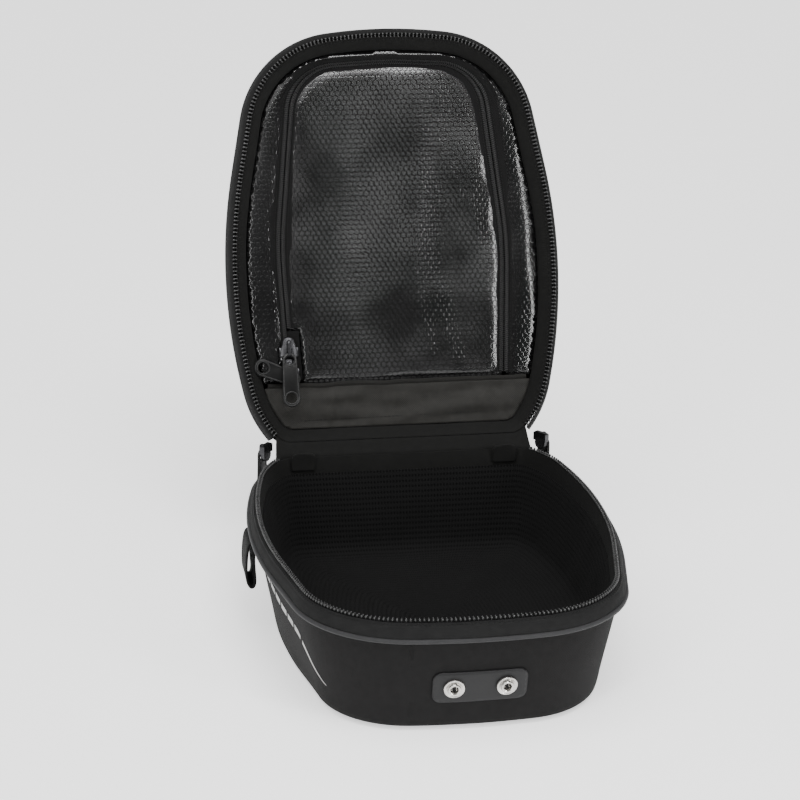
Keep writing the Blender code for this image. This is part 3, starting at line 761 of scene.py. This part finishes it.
def wall_point(x, height):
    """A point on the tub's front wall and its outward normal, in millimetres."""
    line = wall_line(height, 1, 0)
    y = float(np.interp(x, line[:, 0], line[:, 1]))
    ahead = float(np.interp(x + 0.5, line[:, 0], line[:, 1]))
    normal = Vector((ahead - y, -0.5, -WALL_SLOPE * 0.5)).normalized()
    return Vector((x, y, ZIP + height)), normal


def make_snaps():
    """The rubber patch and its two sockets, with their flanges, wells and spring slots; each well is a dark
    disc of painted shade.
    """
    half_w, half_h, corner = 27.2, 10.2, 5.5
    edge = []
    for cx, cy, start in ((1, 1, 0), (-1, 1, 90), (-1, -1, 180), (1, -1, 270)):
        edge += arc(cx * (half_w - corner), cy * (half_h - corner), corner, start, start + 90, 8)
    vertices, faces, uvs = filled(edge, 2.0, 0.0)
    top = []
    for x, y, _ in vertices:
        rim = min(half_w - abs(x), half_h - abs(y))
        lift = 1.0 + 0.35 * min(rim / 1.5, 1.0) + 0.35 * waves((x, y, 0), 14.0, 8.0)
        point, normal = wall_point(PATCH_X + x, PATCH_HEIGHT + y)
        top.append(point + normal * lift)
    patch = mesh_object("snap_patch_sheet", (top, faces, uvs), RUBBER, None)
    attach(solidified(patch, 1.2), "base")
    stands_for(patch, "patch_rubber", "snap_patch")
    flange = [
        (6.2, 0.3), (6.25, 0.9), (5.9, 1.5), (5.2, 1.75), (4.5, 1.35), (4.1, 1.3), (3.9, 1.9), (3.5, 2.6),
        (2.9, 2.75), (2.4, 2.4), (2.15, 1.6), (2.1, -1.5), (3.0, -1.5), (3.0, 0.3),
    ]
    well = [(0.0, -0.4), (1.2, -0.35), (2.05, -0.1), (2.05, -1.4), (0.0, -1.4)]
    for side, name in SIDES:
        point, normal = wall_point(PATCH_X + side * SNAP_SPACING, PATCH_HEIGHT)
        turn = normal.to_track_quat("Z", "Y").to_matrix().to_4x4()
        at = Matrix.Translation(point + normal * 1.3) @ turn
        socket = turned("snap_flange_" + name, flange, SNAP, "base", at)
        stands_for(socket, "snap_metal", "snap_socket_" + name)
        # Each socket's well is a dark disc of painted shade in its hollow.
        turned("snap_well_shade_" + name, well, SNAP_WELL_SHADE, "base", at)
        springs = []
        for flip in (-1, 1):
            path = [(flip * 1.25, t, -0.05) for t in np.linspace(-1.7, 1.7, 7)]
            springs.append(tube(path, 0.22, sides=6))
        mesh_object("snap_springs_" + name, gathered(springs), SNAP, "base", at)
        cap = [(2.3, -8.6), (5.0, -8.6), (5.6, -8.2), (5.7, -7.6), (5.2, -7.2), (2.3, -7.2)]
        inside = turned("snap_cap_disc_" + name, cap, SNAP, "base", at)
        stands_for(inside, "snap_metal", "snap_cap_" + name)


def turned(name, profile, material, body, place, count=40):
    """A profile of (radius, height) turned about Z. Its ends may lie on the axis."""
    vertices, faces, uvs = [], [], []
    rows = len(profile)
    for i in range(count):
        turn = 2 * math.pi * i / count
        for radius, height in profile:
            vertices.append((radius * math.cos(turn), radius * math.sin(turn), height))
            uvs.append((radius * turn, height))
    for i in range(count):
        j = (i + 1) % count
        for k in range(rows):
            m = (k + 1) % rows
            faces.append((i * rows + k, j * rows + k, j * rows + m, i * rows + m))
    return mesh_object(name, (vertices, faces, uvs), material, body, place, 35.0)


def side_wall_frame(y, height):
    """A frame on the left wall: X forwards and down the print's row, Z out of the wall."""
    line = wall_line(height, 0, 1)
    x = float(np.interp(y, line[:, 1], line[:, 0]))
    ahead = float(np.interp(y + 0.5, line[:, 1], line[:, 0]))
    out = Vector((-0.5, ahead - x, -WALL_SLOPE * 0.5)).normalized()
    way = Vector((x - ahead, -0.5, 0.0)).normalized()
    up = out.cross(way)
    at = Matrix((way, up, out)).transposed().to_4x4()
    at.translation = Vector((x, y, ZIP + height))
    return at


def make_print():
    """Reflective dashes in a row along the left wall, ending in a long thin stripe."""
    shell = bpy.data.objects["tub_shell"]
    shapes = []
    for k in range(PRINT_DASHES):
        start = PRINT_START - k * PRINT_PITCH
        shapes.append(print_patch(shell, start, start - PRINT_PITCH + PRINT_GAP, PRINT_WIDTH, PRINT_WIDTH))
    start = PRINT_START - PRINT_DASHES * PRINT_PITCH
    shapes.append(print_patch(shell, start, start - STRIPE_LENGTH, PRINT_WIDTH, 0.4))
    mesh_object("side_print_dashes", gathered(shapes), PRINT, "base")


def print_patch(shell, start, end, wide, narrow):
    """A slanted patch that lies on the shell's left wall between two places along it."""
    to_shell = shell.matrix_world.inverted()
    vertices, steps = [], 12
    for i in range(steps + 1):
        share = i / steps
        half = (wide + (narrow - wide) * share) / 2
        for side in (-1, 1):
            y = start + (end - start) * share - side * half * 0.45
            middle = float(np.interp(-y, *PRINT_ROW))
            place = side_wall_frame(y, middle + side * half)
            out = place.to_3x3() @ Vector((0.0, 0.0, 1.0))
            far = to_shell @ ((place.translation + out * 6.0) / 1000.0)
            hit = shell.ray_cast(far, to_shell.to_3x3() @ -out)
            vertices.append(shell.matrix_world @ hit[1] * 1000.0 + out * 0.25)
    return vertices, grid_faces(steps + 1, 2)


def strap(name, path, width, thickness, material, body, place):
    """Webbing along a path of (x, z), as wide as width along Y, with rounded edges."""
    path = np.array(softened([(x, z, 0) for x, z in path], False, 3))[:, :2]
    tangents = np.gradient(path, axis=0)
    tangents /= np.linalg.norm(tangents, axis=1)[:, None]
    normals = np.stack([-tangents[:, 1], tangents[:, 0]], axis=1)
    half, thick = width / 2, thickness / 2
    section = [(-half, -0.3), (-half + 0.5, -1), (-half / 3, -0.8)]
    section += [(half / 3, -0.8), (half - 0.5, -1), (half, -0.3)]
    section += [(-y, -t) for y, t in section]
    vertices, uvs, along = [], [], lengths(path)
    for i, (point, normal) in enumerate(zip(path, normals)):
        for y, t in section:
            x, z = point + normal * t * thick
            vertices.append((x, y, z))
            uvs.append((along[i], y))
    count, rows = len(section), len(path)
    faces = grid_faces(rows, count, close_ring=True)
    faces += [list(range(count)), list(range((rows - 1) * count, rows * count))]
    return mesh_object(name, (vertices, faces, uvs), material, body, place)


def make_side_loops():
    """A folded webbing loop on each side wall."""
    wall_x = float(outline(0.6)[:, 0].max())
    path = [(1.0, -14.6), (3.0, -15.4), (5.6, -17.0), (6.8, -24.0), (7.3, -33.0), (7.0, -41.0), (5.0, -45.4),
            (2.9, -45.6), (1.6, -42.0), (2.4, -33.0), (2.6, -24.0), (1.6, -18.0)]
    for side, name in SIDES:
        at = Matrix(((side, 0, 0, side * wall_x), (0, side, 0, 38.0), (0, 0, 1, ZIP), (0, 0, 0, 1)))
        loop = strap("side_strap_" + name, path, 25.0, 1.5, WEBBING, "base", at)
        stands_for(loop, "webbing", "side_loop_" + name)


# ---------------------------------------------------------------- the lid


def make_lid():
    """The moulded lid with its lining, rim band, piping, facing and half of the main zip."""
    outer = [
        (3.0, 12.8), (2.4, 13.4), (0.8, 14.2), (0.0, 15.2), (-2.2, 19.0),
        (-4.2, 21.6), (-7.6, 24.2), (-13.5, 26.2), (-22.0, 27.1), (-36.0, 27.5),
        (-60.0, 27.6), (-90.0, 27.6), (-112.0, 27.6),
    ]
    shell = skin("lid_shell_skin", outer, SHELL, None, OPEN, closed=False, open_at_hinge=False,
                 bumpy=0.3, size=40.0, cap=True, rear_limit=0.0)
    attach(solidified(shell, 2.2), "lid")
    stands_for(shell, "shell_fabric", "lid_shell")

    depth = [(-7.5, 13.6), (-9.2, 19.6), (-12.0, 22.4), (-20.0, 23.6), (-34.0, 23.9)]
    lining = skin("lid_lining_cloth", depth, LINING, None, OPEN, closed=False, open_at_hinge=False,
                  bumpy=0.5, size=24.0, cap=True)
    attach(solidified(lining, 0.5), "lid")
    stands_for(lining, "knit_lining", "lid_lining")

    band = [
        (0.0, 2.6), (1.2, 2.8), (2.4, 3.8), (3.4, 6.6), (3.9, 9.4), (3.4, 10.3),
        (1.6, 10.2), (1.2, 7.0), (0.2, 4.4),
    ]
    rim = skin("lid_band_skin", band, BAND, "lid", OPEN, bumpy=0.3, size=18.0)
    stands_for(rim, "shell_fabric", "lid_band")
    path = outline(3.5, open_at_hinge=True)
    path = np.column_stack([path, np.full(len(path), ZIP + 11.5)])
    piping = mesh_object("lid_piping_cord", tube(path, 1.15, sides=12), PIPING, "lid", OPEN)
    stands_for(piping, "piping", "lid_piping")

    facing = [(-1.5, 2.6), (-4.6, 5.0), (-8.9, 10.2), (-9.3, 12.2), (-8.2, 12.2), (-1.5, 4.4)]
    inside = skin("lid_facing_strip", facing, FACING, "lid", OPEN, open_at_hinge=False, rounds=1, bumpy=0.3)
    stands_for(inside, "facing", "lid_facing")
    strip = [(-1.1, 2.2), (-0.2, 2.2), (-0.2, 10.6), (-1.1, 10.6)]
    upper = skin("main_tape_upper", strip, TAPE, "lid", OPEN, rounds=1)
    stands_for(upper, "zip_tape", "zip_tape_upper")
    chain = zip_chain("main_teeth_upper", ZIP + 1.5, -1.0, "lid", OPEN)
    stands_for(chain, "zip_teeth", "zip_chain_upper")
    stitches("lid_stitching", outline(-3.4, open_at_hinge=True), ZIP + 3.5, 2.8, 1.6, 0.22, "lid", OPEN)


def make_gusset():
    """The fabric hinge: one cloth round the back from zip end to zip end, from tub to lid."""
    rear = outline(0.9)[RIGHT_END : LEFT_END + 1][::-1]
    inside = outline(-1.0)[RIGHT_END : LEFT_END + 1][::-1]
    columns = []
    for (x, y), (lid_x, lid_y) in zip(rear, inside):
        foot = [Vector((x, y, z)) for z in (54.0, 62.0, 69.0, 72.5)]
        top = [OPEN @ Vector((lid_x, lid_y, ZIP + h)) for h in (3.0, 6.0, 11.0, 17.0)]
        fold = (foot[-1] + top[0]) / 2 + Vector((0.0, 0.0, -0.8))
        columns.append(softened(foot + [fold] + top, False, 3))
    around = lengths(rear)
    vertices, uvs = [], []
    for i in range(len(columns[0])):
        for k, column in enumerate(columns):
            x, y, z = column[i]
            pucker = 0.5 * waves((x, z, 0), 8.0, 5.0)
            vertices.append((x, y + pucker, z))
            uvs.append((around[k], 1.2 * i))
    faces = grid_faces(len(columns[0]), len(columns))
    cloth = mesh_object("hinge_gusset_cloth", (vertices, faces, uvs), FACING, None)
    solidified(cloth, 0.9, 0.0)
    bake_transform(cloth)
    stands_for(cloth, "zip_tape", "hinge_gusset_lower", "hinge_gusset_upper")
    outer = [
        (58.5, -10.5), (58.5, -1.0), (60.0, 0.8), (63.0, 1.4),
        (70.0, 1.4), (72.8, 0.2), (73.8, -3.0), (73.8, -10.5),
    ]
    for side, name in SIDES:
        shape = filled([(side * x, z) for x, z in outer], 1.5, 0.0)
        vertices = [(x, 128.6 + 0.25 * waves((x, z, 0), 6.0, 4.0), ZIP + z) for x, z, _ in shape[0]]
        tab = mesh_object("zip_tab_" + name, (vertices, shape[1], shape[2]), FACING, None)
        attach(solidified(tab, 1.0, 0.0), "base")
        stands_for(tab, "facing", "zip_end_tab_" + name)


def film_wave(x, y):
    """Slack in the film: long dents along the bag and small ones across it."""
    side = min(1.0, abs(x) / 62.0) ** 2
    slow = 1.1 * waves((x * 1.5, y * 0.5, 0), 44.0, 1.0)
    quick = (0.10 + 0.30 * side) * waves((x * 1.6, y * 0.6, 0), 12.0, 2.0)
    return slow + quick


def make_film():
    """The clear film beside the pocket zip and the flap inside it."""
    inside = outline(-9.5)
    ends = inside[inside[:, 1] < POCKET_END]
    right = ends[ends[:, 0] > 0][np.argmax(ends[ends[:, 0] > 0][:, 1])]
    order = int(np.where((inside == right).all(axis=1))[0][0])
    rolled = np.roll(inside, -order - 1, axis=0)
    lower = rolled[rolled[:, 1] < POCKET_END]
    first, last = (-abs(lower[0][0]), POCKET_END), (abs(lower[-1][0]), POCKET_END)
    polygon = np.concatenate([[first], lower, [last], pocket_line(1.2, 6.0)])
    polygon[polygon[:, 1] == POCKET_END, 1] = FILM_END
    shape = filled(polygon, 2.6, ZIP + 11.5, lambda x, y: film_height(polygon, x, y))
    border = mesh_object("film_border", shape, BORDER_FILM, None, OPEN)
    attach(solidified(border, 0.4), "lid")
    stands_for(border, "film", "film_frame")

    notch = [(pocket_leg_x(y) + STUB + 0.3, y) for y in np.linspace(STUB_Y - 0.3, FILM_END, 7)]
    polygon = list(pocket_line(-1.2, 6.0)[:-1])
    while polygon[-1][1] > STUB_Y - 4.0:
        polygon.pop()
    polygon = np.array(polygon + [(pocket_leg_x(STUB_Y) + 1.2, STUB_Y - 0.3)] + notch)
    polygon[0, 1] = FILM_END
    shape = filled(polygon, 2.6, ZIP + 11.5, lambda x, y: film_height(polygon, x, y))
    flap = mesh_object("film_flap", shape, FILM, None, OPEN)
    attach(solidified(flap, 0.4), "pocket_flap")
    stands_for(flap, "film", "pocket_film")


def film_height(polygon, x, y):
    """Height of the film: it bulges towards the lid's mouth and rolls back under the tapes."""
    share = min(1.0, edge_distance(polygon, x, y) / 10.0)
    return edge_fade(polygon, x, y) * film_wave(x, y) - 1.5 * share * (2.0 - share)


def edge_fade(polygon, x, y):
    """From 0 at a sheet's sewn edge to 1 further in."""
    return min(1.0, edge_distance(polygon, x, y) / 7.0)


def ribbon(name, inner, outer, low, high, material, body, crown=0.0, rows=7):
    """A sewn tape between two lines, thick from low to high, with its middle raised."""
    count = len(inner)
    vertices, uvs, along = [], [], lengths(inner)
    for top in (True, False):
        for r in range(rows):
            share = r / (rows - 1)
            for c in range(count):
                x, y = inner[c] + (outer[c] - inner[c]) * share
                lift = crown * math.sin(math.pi * share) + 0.12 * waves((x, y, 0), 7.0, 6.0)
                vertices.append((x, y, ZIP + (low - lift if top else high - lift)))
                uvs.append((along[c], share * float(np.linalg.norm(outer[c] - inner[c]))))
    below = rows * count
    top = grid_faces(rows, count)
    faces = top + [(a + below, d + below, c + below, b + below) for a, b, c, d in top]
    ring = [*range(count), *range(2 * count - 1, rows * count, count)]
    ring += [*range(rows * count - 2, (rows - 1) * count - 1, -1), *range((rows - 2) * count, 0, -count)]
    for a, b in zip(ring, ring[1:] + ring[:1]):
        faces.append((a, a + below, b + below, b))
    return mesh_object(name, (vertices, faces, uvs), material, body, OPEN)


def make_pocket_zip():
    """Both halves of the pocket zip: tape, slanted coil ribs and stitching."""
    centre = pocket_line(0.0, 2.0)
    last = int(np.argmax((centre[:, 0] < 0) & (centre[:, 1] > STUB_Y)))
    for side, sign, body in (("outer", 1.0, "lid"), ("inner", -1.0, "pocket_flap")):
        a, b = pocket_line(0.25 * sign, 2.0), pocket_line(9.8 * sign, 2.0)
        if sign < 0:
            a, b = a[:last], b[:last]
        strip = ribbon("pocket_tape_" + side + "_weave", a, b, 10.4, 11.0, TAPE, body, 0.25)
        stands_for(strip, "zip_tape", "pocket_tape_" + side)
        rib = brick((-0.42, 0.25, -0.45), (0.42, 2.9, 0.3), 0.2)
        line = centre if sign > 0 else centre[:last]
        points, tangents = evenly(line, 1.35)
        frames = []
        for (x, y), (tx, ty) in zip(points, tangents):
            nx, ny = -ty * sign, tx * sign * (1 if abs(tx) < 0.5 else SQUEEZE)
            slant = 0.35
            first, second = (tx, nx + tx * slant, 0, x), (ty, ny + ty * slant, 0, y)
            frames.append(Matrix((first, second, (0, 0, 1, ZIP + 9.9), (0, 0, 0, 1))))
        coil = mesh_object("pocket_coil_" + side + "_ribs", copies(rib, frames), COIL, body, OPEN)
        stands_for(coil, "zip_teeth", "pocket_coil_" + side)
        for offset in (4.2, 8.6):
            row = pocket_line(offset * sign, 2.0)
            row = row if sign > 0 else row[:last]
            stitches("pocket_stitch_%s_%d" % (side, offset), row, ZIP + 9.95, 2.2, 1.3, 0.16, body, OPEN)
    stub_inner = np.array([(pocket_leg_x(y) - 0.25, y) for y in np.linspace(STUB_Y, POCKET_END, 12)])
    stub_outer = np.array([(pocket_leg_x(y) + STUB - 0.2, y) for y in np.linspace(STUB_Y, POCKET_END, 12)])
    ribbon("pocket_tape_stub", stub_inner, stub_outer, 10.4, 11.0, TAPE, "lid", 0.2)


def nylon_wave(x, y):
    """Puckers below the binding, fading towards the bottom seam."""
    share = (y - 96.0) / 26.0
    puckers = 2.0 * waves((x, y * 0.4, 0), 11.0, 7.0) * (1.0 - 0.6 * share)
    folds = 2.2 * waves((x * 0.3, y * 1.3, 0), 12.0, 9.0)
    crease = -1.2 * math.exp(-(((x + 42.0 + 0.15 * (y - 96.0)) / 1.3) ** 2))
    return puckers + folds + crease


def make_nylon():
    """The gathered panel below the pocket, its bound edge and their stitching."""
    inside = outline(-9.4)
    rear = inside[inside[:, 1] > 97.0]
    order = np.argsort(np.arctan2(rear[:, 1] - 97.0, rear[:, 0]))
    rear = rear[order]
    polygon = np.concatenate([[(abs(rear[0][0]), 97.0)], rear, [(-abs(rear[-1][0]), 97.0)]])
    shape = filled(polygon, 1.7, ZIP + 11.0, lambda x, y: edge_fade(polygon, x, y) * nylon_wave(x, y))
    panel = mesh_object("nylon_cloth", shape, NYLON, None, OPEN)
    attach(solidified(panel, 0.5), "lid")
    stands_for(panel, "nylon", "nylon_panel")
    width = abs(rear[0][0])
    across = np.linspace(-width + 2, width - 2, 90)
    line = np.array([(x, 95.8 + 0.9 * waves((x, 0, 0), 20.0, 3.0)) for x in across])
    path = np.column_stack([line, np.full(len(line), ZIP + 11.0)])
    # The tube's wide side lies in the lid's plane
    shape = tube(path, 1.7, sides=14, flat=0.55)
    edge = mesh_object("panel_binding_tape", shape, BINDING, "lid", OPEN)
    stands_for(edge, "binding", "panel_binding")
    stitches("binding_stitching", line + np.array([0.0, 0.3]), ZIP + 9.95, 2.6, 1.5, 0.2, "lid", OPEN)
    seam = np.array([(x, 118.0 + x * -0.01) for x in np.linspace(-66, 66, 60)])
    stitches("panel_seam", seam, ZIP + 10.4, 2.6, 1.6, 0.2, "lid", OPEN)


# ---------------------------------------------------------------- hardware


def plate(outline_points, low, high, bevel):
    """A convex plate with its outer top edge rounded, as (vertices, faces)."""
    points = np.array(outline_points, float)
    middle = points.mean(0)
    radius = np.linalg.norm(points - middle, axis=1).mean()
    levels = [(low, 0.0), (high - bevel, 0.0), (high - bevel * 0.4, bevel * 0.35), (high, bevel)]
    vertices, count = [], len(points)
    for z, inset in levels:
        ring = middle + (points - middle) * (1 - inset / radius)
        vertices += [(x, y, z) for x, y in ring]
    faces = grid_faces(len(levels), count, close_ring=True)
    faces += [list(range(count)), list(range(3 * count, 4 * count))]
    return vertices, faces


def arc(cx, cy, radius, start, end, steps):
    turns = [math.radians(start + (end - start) * i / steps) for i in range(steps + 1)]
    return [(cx + radius * math.cos(t), cy + radius * math.sin(t)) for t in turns]


def slider_shape(length, narrow, wide, thickness, bail_height):
    """A slider's body with shoulders, a raised spine and its bail. Z outwards, Y along the zip."""
    body = arc(0, narrow, narrow, 180, 360, 8)
    body += [(wide * 0.8, length * 0.45)] + arc(wide - 1.2, length - 1.2, 1.2, 0, 90, 4)
    body += arc(-wide + 1.2, length - 1.2, 1.2, 90, 180, 4) + [(-wide * 0.8, length * 0.45)]
    parts = [plate(body, 0.0, thickness, 0.4)]
    spine = [(-1.5, 1.2), (1.5, 1.2), (1.5, length - 0.3), (-1.5, length - 0.3)]
    parts.append(plate(spine, thickness - 0.2, thickness + 0.35, 0.25))
    for side in (-1, 1):
        parts.append(plate([(side * (wide - 1.0), length * 0.5), (side * (wide + 0.1), length * 0.5),
                            (side * (wide + 0.1), length - 0.6), (side * (wide - 1.0), length - 0.6)][::side],
                           -0.6, thickness + 0.2, 0.3))
    far = length - 0.8
    bail = [
        (0, 2.4, thickness - 0.4), (0, 2.4, bail_height - 1.0), (0, 3.2, bail_height),
        (0, far - 0.8, bail_height), (0, far, bail_height - 1.0), (0, far, thickness - 0.4),
    ]
    parts.append(tube(softened(bail, False, 2), 0.55, sides=8, flat=2.0)[:2])
    return gathered(parts)


def holed_plate(loops, thickness, bevel):
    """A sheet with holes and rounded edges, from 2D loops."""
    curve = bpy.data.curves.new("holed", "CURVE")
    curve.dimensions = "2D"
    curve.fill_mode = "BOTH"
    curve.extrude = thickness / 2 - bevel
    curve.bevel_depth = bevel
    curve.bevel_resolution = 2
    for loop in loops:
        spline = curve.splines.new("POLY")
        spline.use_cyclic_u = True
        spline.points.add(len(loop) - 1)
        for target, (x, y) in zip(spline.points, loop):
            target.co = (x, y, 0.0, 1.0)
    obj = bpy.data.objects.new("holed", curve)
    bpy.context.scene.collection.objects.link(obj)
    mesh = bpy.data.meshes.new_from_object(obj.evaluated_get(bpy.context.evaluated_depsgraph_get()))
    bpy.data.objects.remove(obj)
    return mesh


def pull(name, node, length, ring_y, body, at):
    """A zip pull: a ring at the top, a tapered tab, raised rims and a round hole at the foot."""
    foot = ring_y + length - 11.0
    top = arc(0, ring_y, 4.6, 180, 360, 14)
    end = arc(0, foot, 5.5, 0, 180, 16)
    outer = top + [(4.7, ring_y + 6.0)] + end + [(-4.7, ring_y + 6.0)]
    ring = arc(0, ring_y, 3.2, 0, 360, 20)[:-1]
    hole = arc(0, foot - 0.2, 3.7, 0, 360, 22)[:-1]
    mesh = holed_plate([outer, ring, hole], 1.0, 0.25)
    tab = finished(name, mesh, PULL, body, at, 35.0)
    stands_for(tab, "pull_metal", node)
    rims = []
    inset = []
    for x, y in outer:
        shrink = 0.93 if y < ring_y else 1.0
        shift = 0.5 if y > foot else 0.0
        inset.append((x * 0.9, ring_y + (y - ring_y) * shrink - shift))
    ring_rim = arc(0, ring_y, 3.7, 0, 360, 20)[:-1]
    hole_rim = arc(0, foot - 0.2, 4.1, 0, 360, 22)[:-1]
    for z in (0.45, -0.45):
        for loop, radius in ((inset, 0.42), (ring_rim, 0.4), (hole_rim, 0.34)):
            rims.append(tube([(x, y, z) for x, y in loop], radius, closed=True, sides=8))
    rim = mesh_object(name + "_rims", gathered(rims), PULL_RIM, body, at)


def make_hardware():
    """The sliders and pulls of the pocket zip and of the main zip."""
    flat = Matrix.Rotation(math.pi, 4, "Y")
    x = pocket_leg_x(71.0)
    for name, y, bail, body in (("upper", 64.0, 5.3, "pocket_slider"), ("lower", 77.8, 3.3, "lid")):
        at = OPEN @ Matrix.Translation((x, y, ZIP + SLIDER_H)) @ flat
        shape = slider_shape(13.4, 4.2, 6.0, 1.4, bail)
        piece = mesh_object("pocket_slider_" + name + "_body", shape, SLIDER, body, at, sharp=35.0)
        stands_for(piece, "slider_metal", "pocket_slider_" + name)
    hook = Matrix.Translation((x, 74.4, ZIP + SLIDER_H - 3.9)) @ Matrix.Rotation(-math.radians(8.0), 4, "X")
    pull("pocket_tab_upper", "pocket_pull_upper", 36.0, 4.6, "pocket_pull_upper", OPEN @ hook)
    leg = Matrix.Translation((x, 90.4, ZIP + SLIDER_H - 2.1)) @ Matrix.Rotation(math.radians(112.6), 4, "Z")
    pull("pocket_tab_lower", "pocket_pull_lower", 32.0, -2.2, "pocket_pull_lower", OPEN @ leg)
    along = Vector((-0.616, 0.788, 0.0))
    for side, name in SIDES:
        out = Vector((side * along.y, -along.x, 0.0))
        up = Vector((0.0, 0.0, 1.0))
        way = up.cross(out)
        at = Matrix((way, up, out)).transposed().to_4x4()
        at.translation = Vector((side * 84.0, 124.5, ZIP - 3.0)) + out * 6.8
        shape = slider_shape(11.6, 4.2, 5.0, 3.0, 5.6)
        piece = mesh_object("main_slider_" + name + "_body", shape, SLIDER, "base", at, sharp=35.0)
        stands_for(piece, "slider_metal", "main_slider_" + name)
        hanging = Matrix((way, -up, -out)).transposed().to_4x4()
        hanging.translation = at @ Vector((0.0, 8.4, 4.2))
        pull("main_tab_" + name, "main_pull_" + name, 32.0, 4.6, "main_pull_" + name, hanging)


# ---------------------------------------------------------------- scene


def repaint(node, material):
    """A CAD node whose shape is right gets the finished material."""
    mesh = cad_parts[node].data
    mesh.materials.clear()
    mesh.materials.append(material)


def area_light(name, place, aim, size, power, size_y=None):
    data = bpy.data.lights.new(name, "AREA")
    data.shape = "RECTANGLE"
    data.size = size
    data.size_y = size_y or size
    data.energy = power
    lamp = bpy.data.objects.new(name, data)
    bpy.context.scene.collection.objects.link(lamp)
    lamp.location = place
    lamp.rotation_euler = (Vector(aim) - Vector(place)).to_track_quat("-Z", "Y").to_euler()


def make_stage():
    bm = bmesh.new()
    bmesh.ops.create_grid(bm, x_segments=2, y_segments=2, size=6.0)
    mesh = bpy.data.meshes.new("floor")
    bm.to_mesh(mesh)
    bm.free()
    floor = bpy.data.objects.new("floor", mesh)
    floor.location.z = -0.0002
    bpy.context.scene.collection.objects.link(floor)
    paper = Look("floor_paper", 0.88, 0.9, Emission_Strength=0.9)
    paper.shader.inputs["Emission Color"].default_value = (1.0, 1.0, 1.0, 1.0)
    mesh.materials.append(paper.material)
    world = bpy.data.worlds.new("studio")
    bpy.context.scene.world = world
    world.use_nodes = True
    world.node_tree.nodes["Background"].inputs["Color"].default_value = (1.0, 1.0, 1.0, 1.0)
    world.node_tree.nodes["Background"].inputs["Strength"].default_value = 0.40
    data = bpy.data.lights.new("daylight", "SUN")
    data.energy = 2.7
    data.angle = math.radians(70.0)
    sun = bpy.data.objects.new("daylight", data)
    bpy.context.scene.collection.objects.link(sun)
    sun.rotation_euler = (math.radians(22.0), math.radians(-12.0), 0.0)
    area_light("front_left", (-1.15, -1.35, 0.7), (0, 0.15, 0.25), 0.25, 9.0, 0.8)
    area_light("front_right", (1.0, -1.2, 0.55), (0.05, 0.18, 0.2), 0.26, 13.0, 1.0)
    area_light("overhead", (0.1, -0.75, 1.5), (0, 0.2, 0.3), 0.8, 14.0, 0.36)


def make_camera():
    azimuth, elevation, roll = (math.radians(angle) for angle in CAMERA_ANGLES)
    level = math.cos(elevation)
    back = Vector((math.sin(azimuth) * level, -math.cos(azimuth) * level, math.sin(elevation)))
    right = (-back).cross(Vector((0.0, 0.0, 1.0))).normalized()
    over = right.cross(-back)
    x_axis = right * math.cos(roll) + over * math.sin(roll)
    y_axis = over * math.cos(roll) - right * math.sin(roll)
    data = bpy.data.cameras.new("camera")
    data.sensor_width = 36.0
    data.lens = CAMERA_LENS
    camera = bpy.data.objects.new("camera", data)
    bpy.context.scene.collection.objects.link(camera)
    rows = Matrix((x_axis, y_axis, back)).transposed().to_4x4()
    rows.translation = Vector(CAMERA_AIM) + back * CAMERA_DISTANCE
    camera.matrix_world = rows
    bpy.context.scene.camera = camera


make_tub()
make_snaps()
make_side_loops()
make_print()
make_lid()
make_gusset()
make_film()
make_pocket_zip()
make_nylon()
make_hardware()
repaint("base_pad", GRIP)
repaint("floor_board", BOARD)
make_stage()
make_camera()
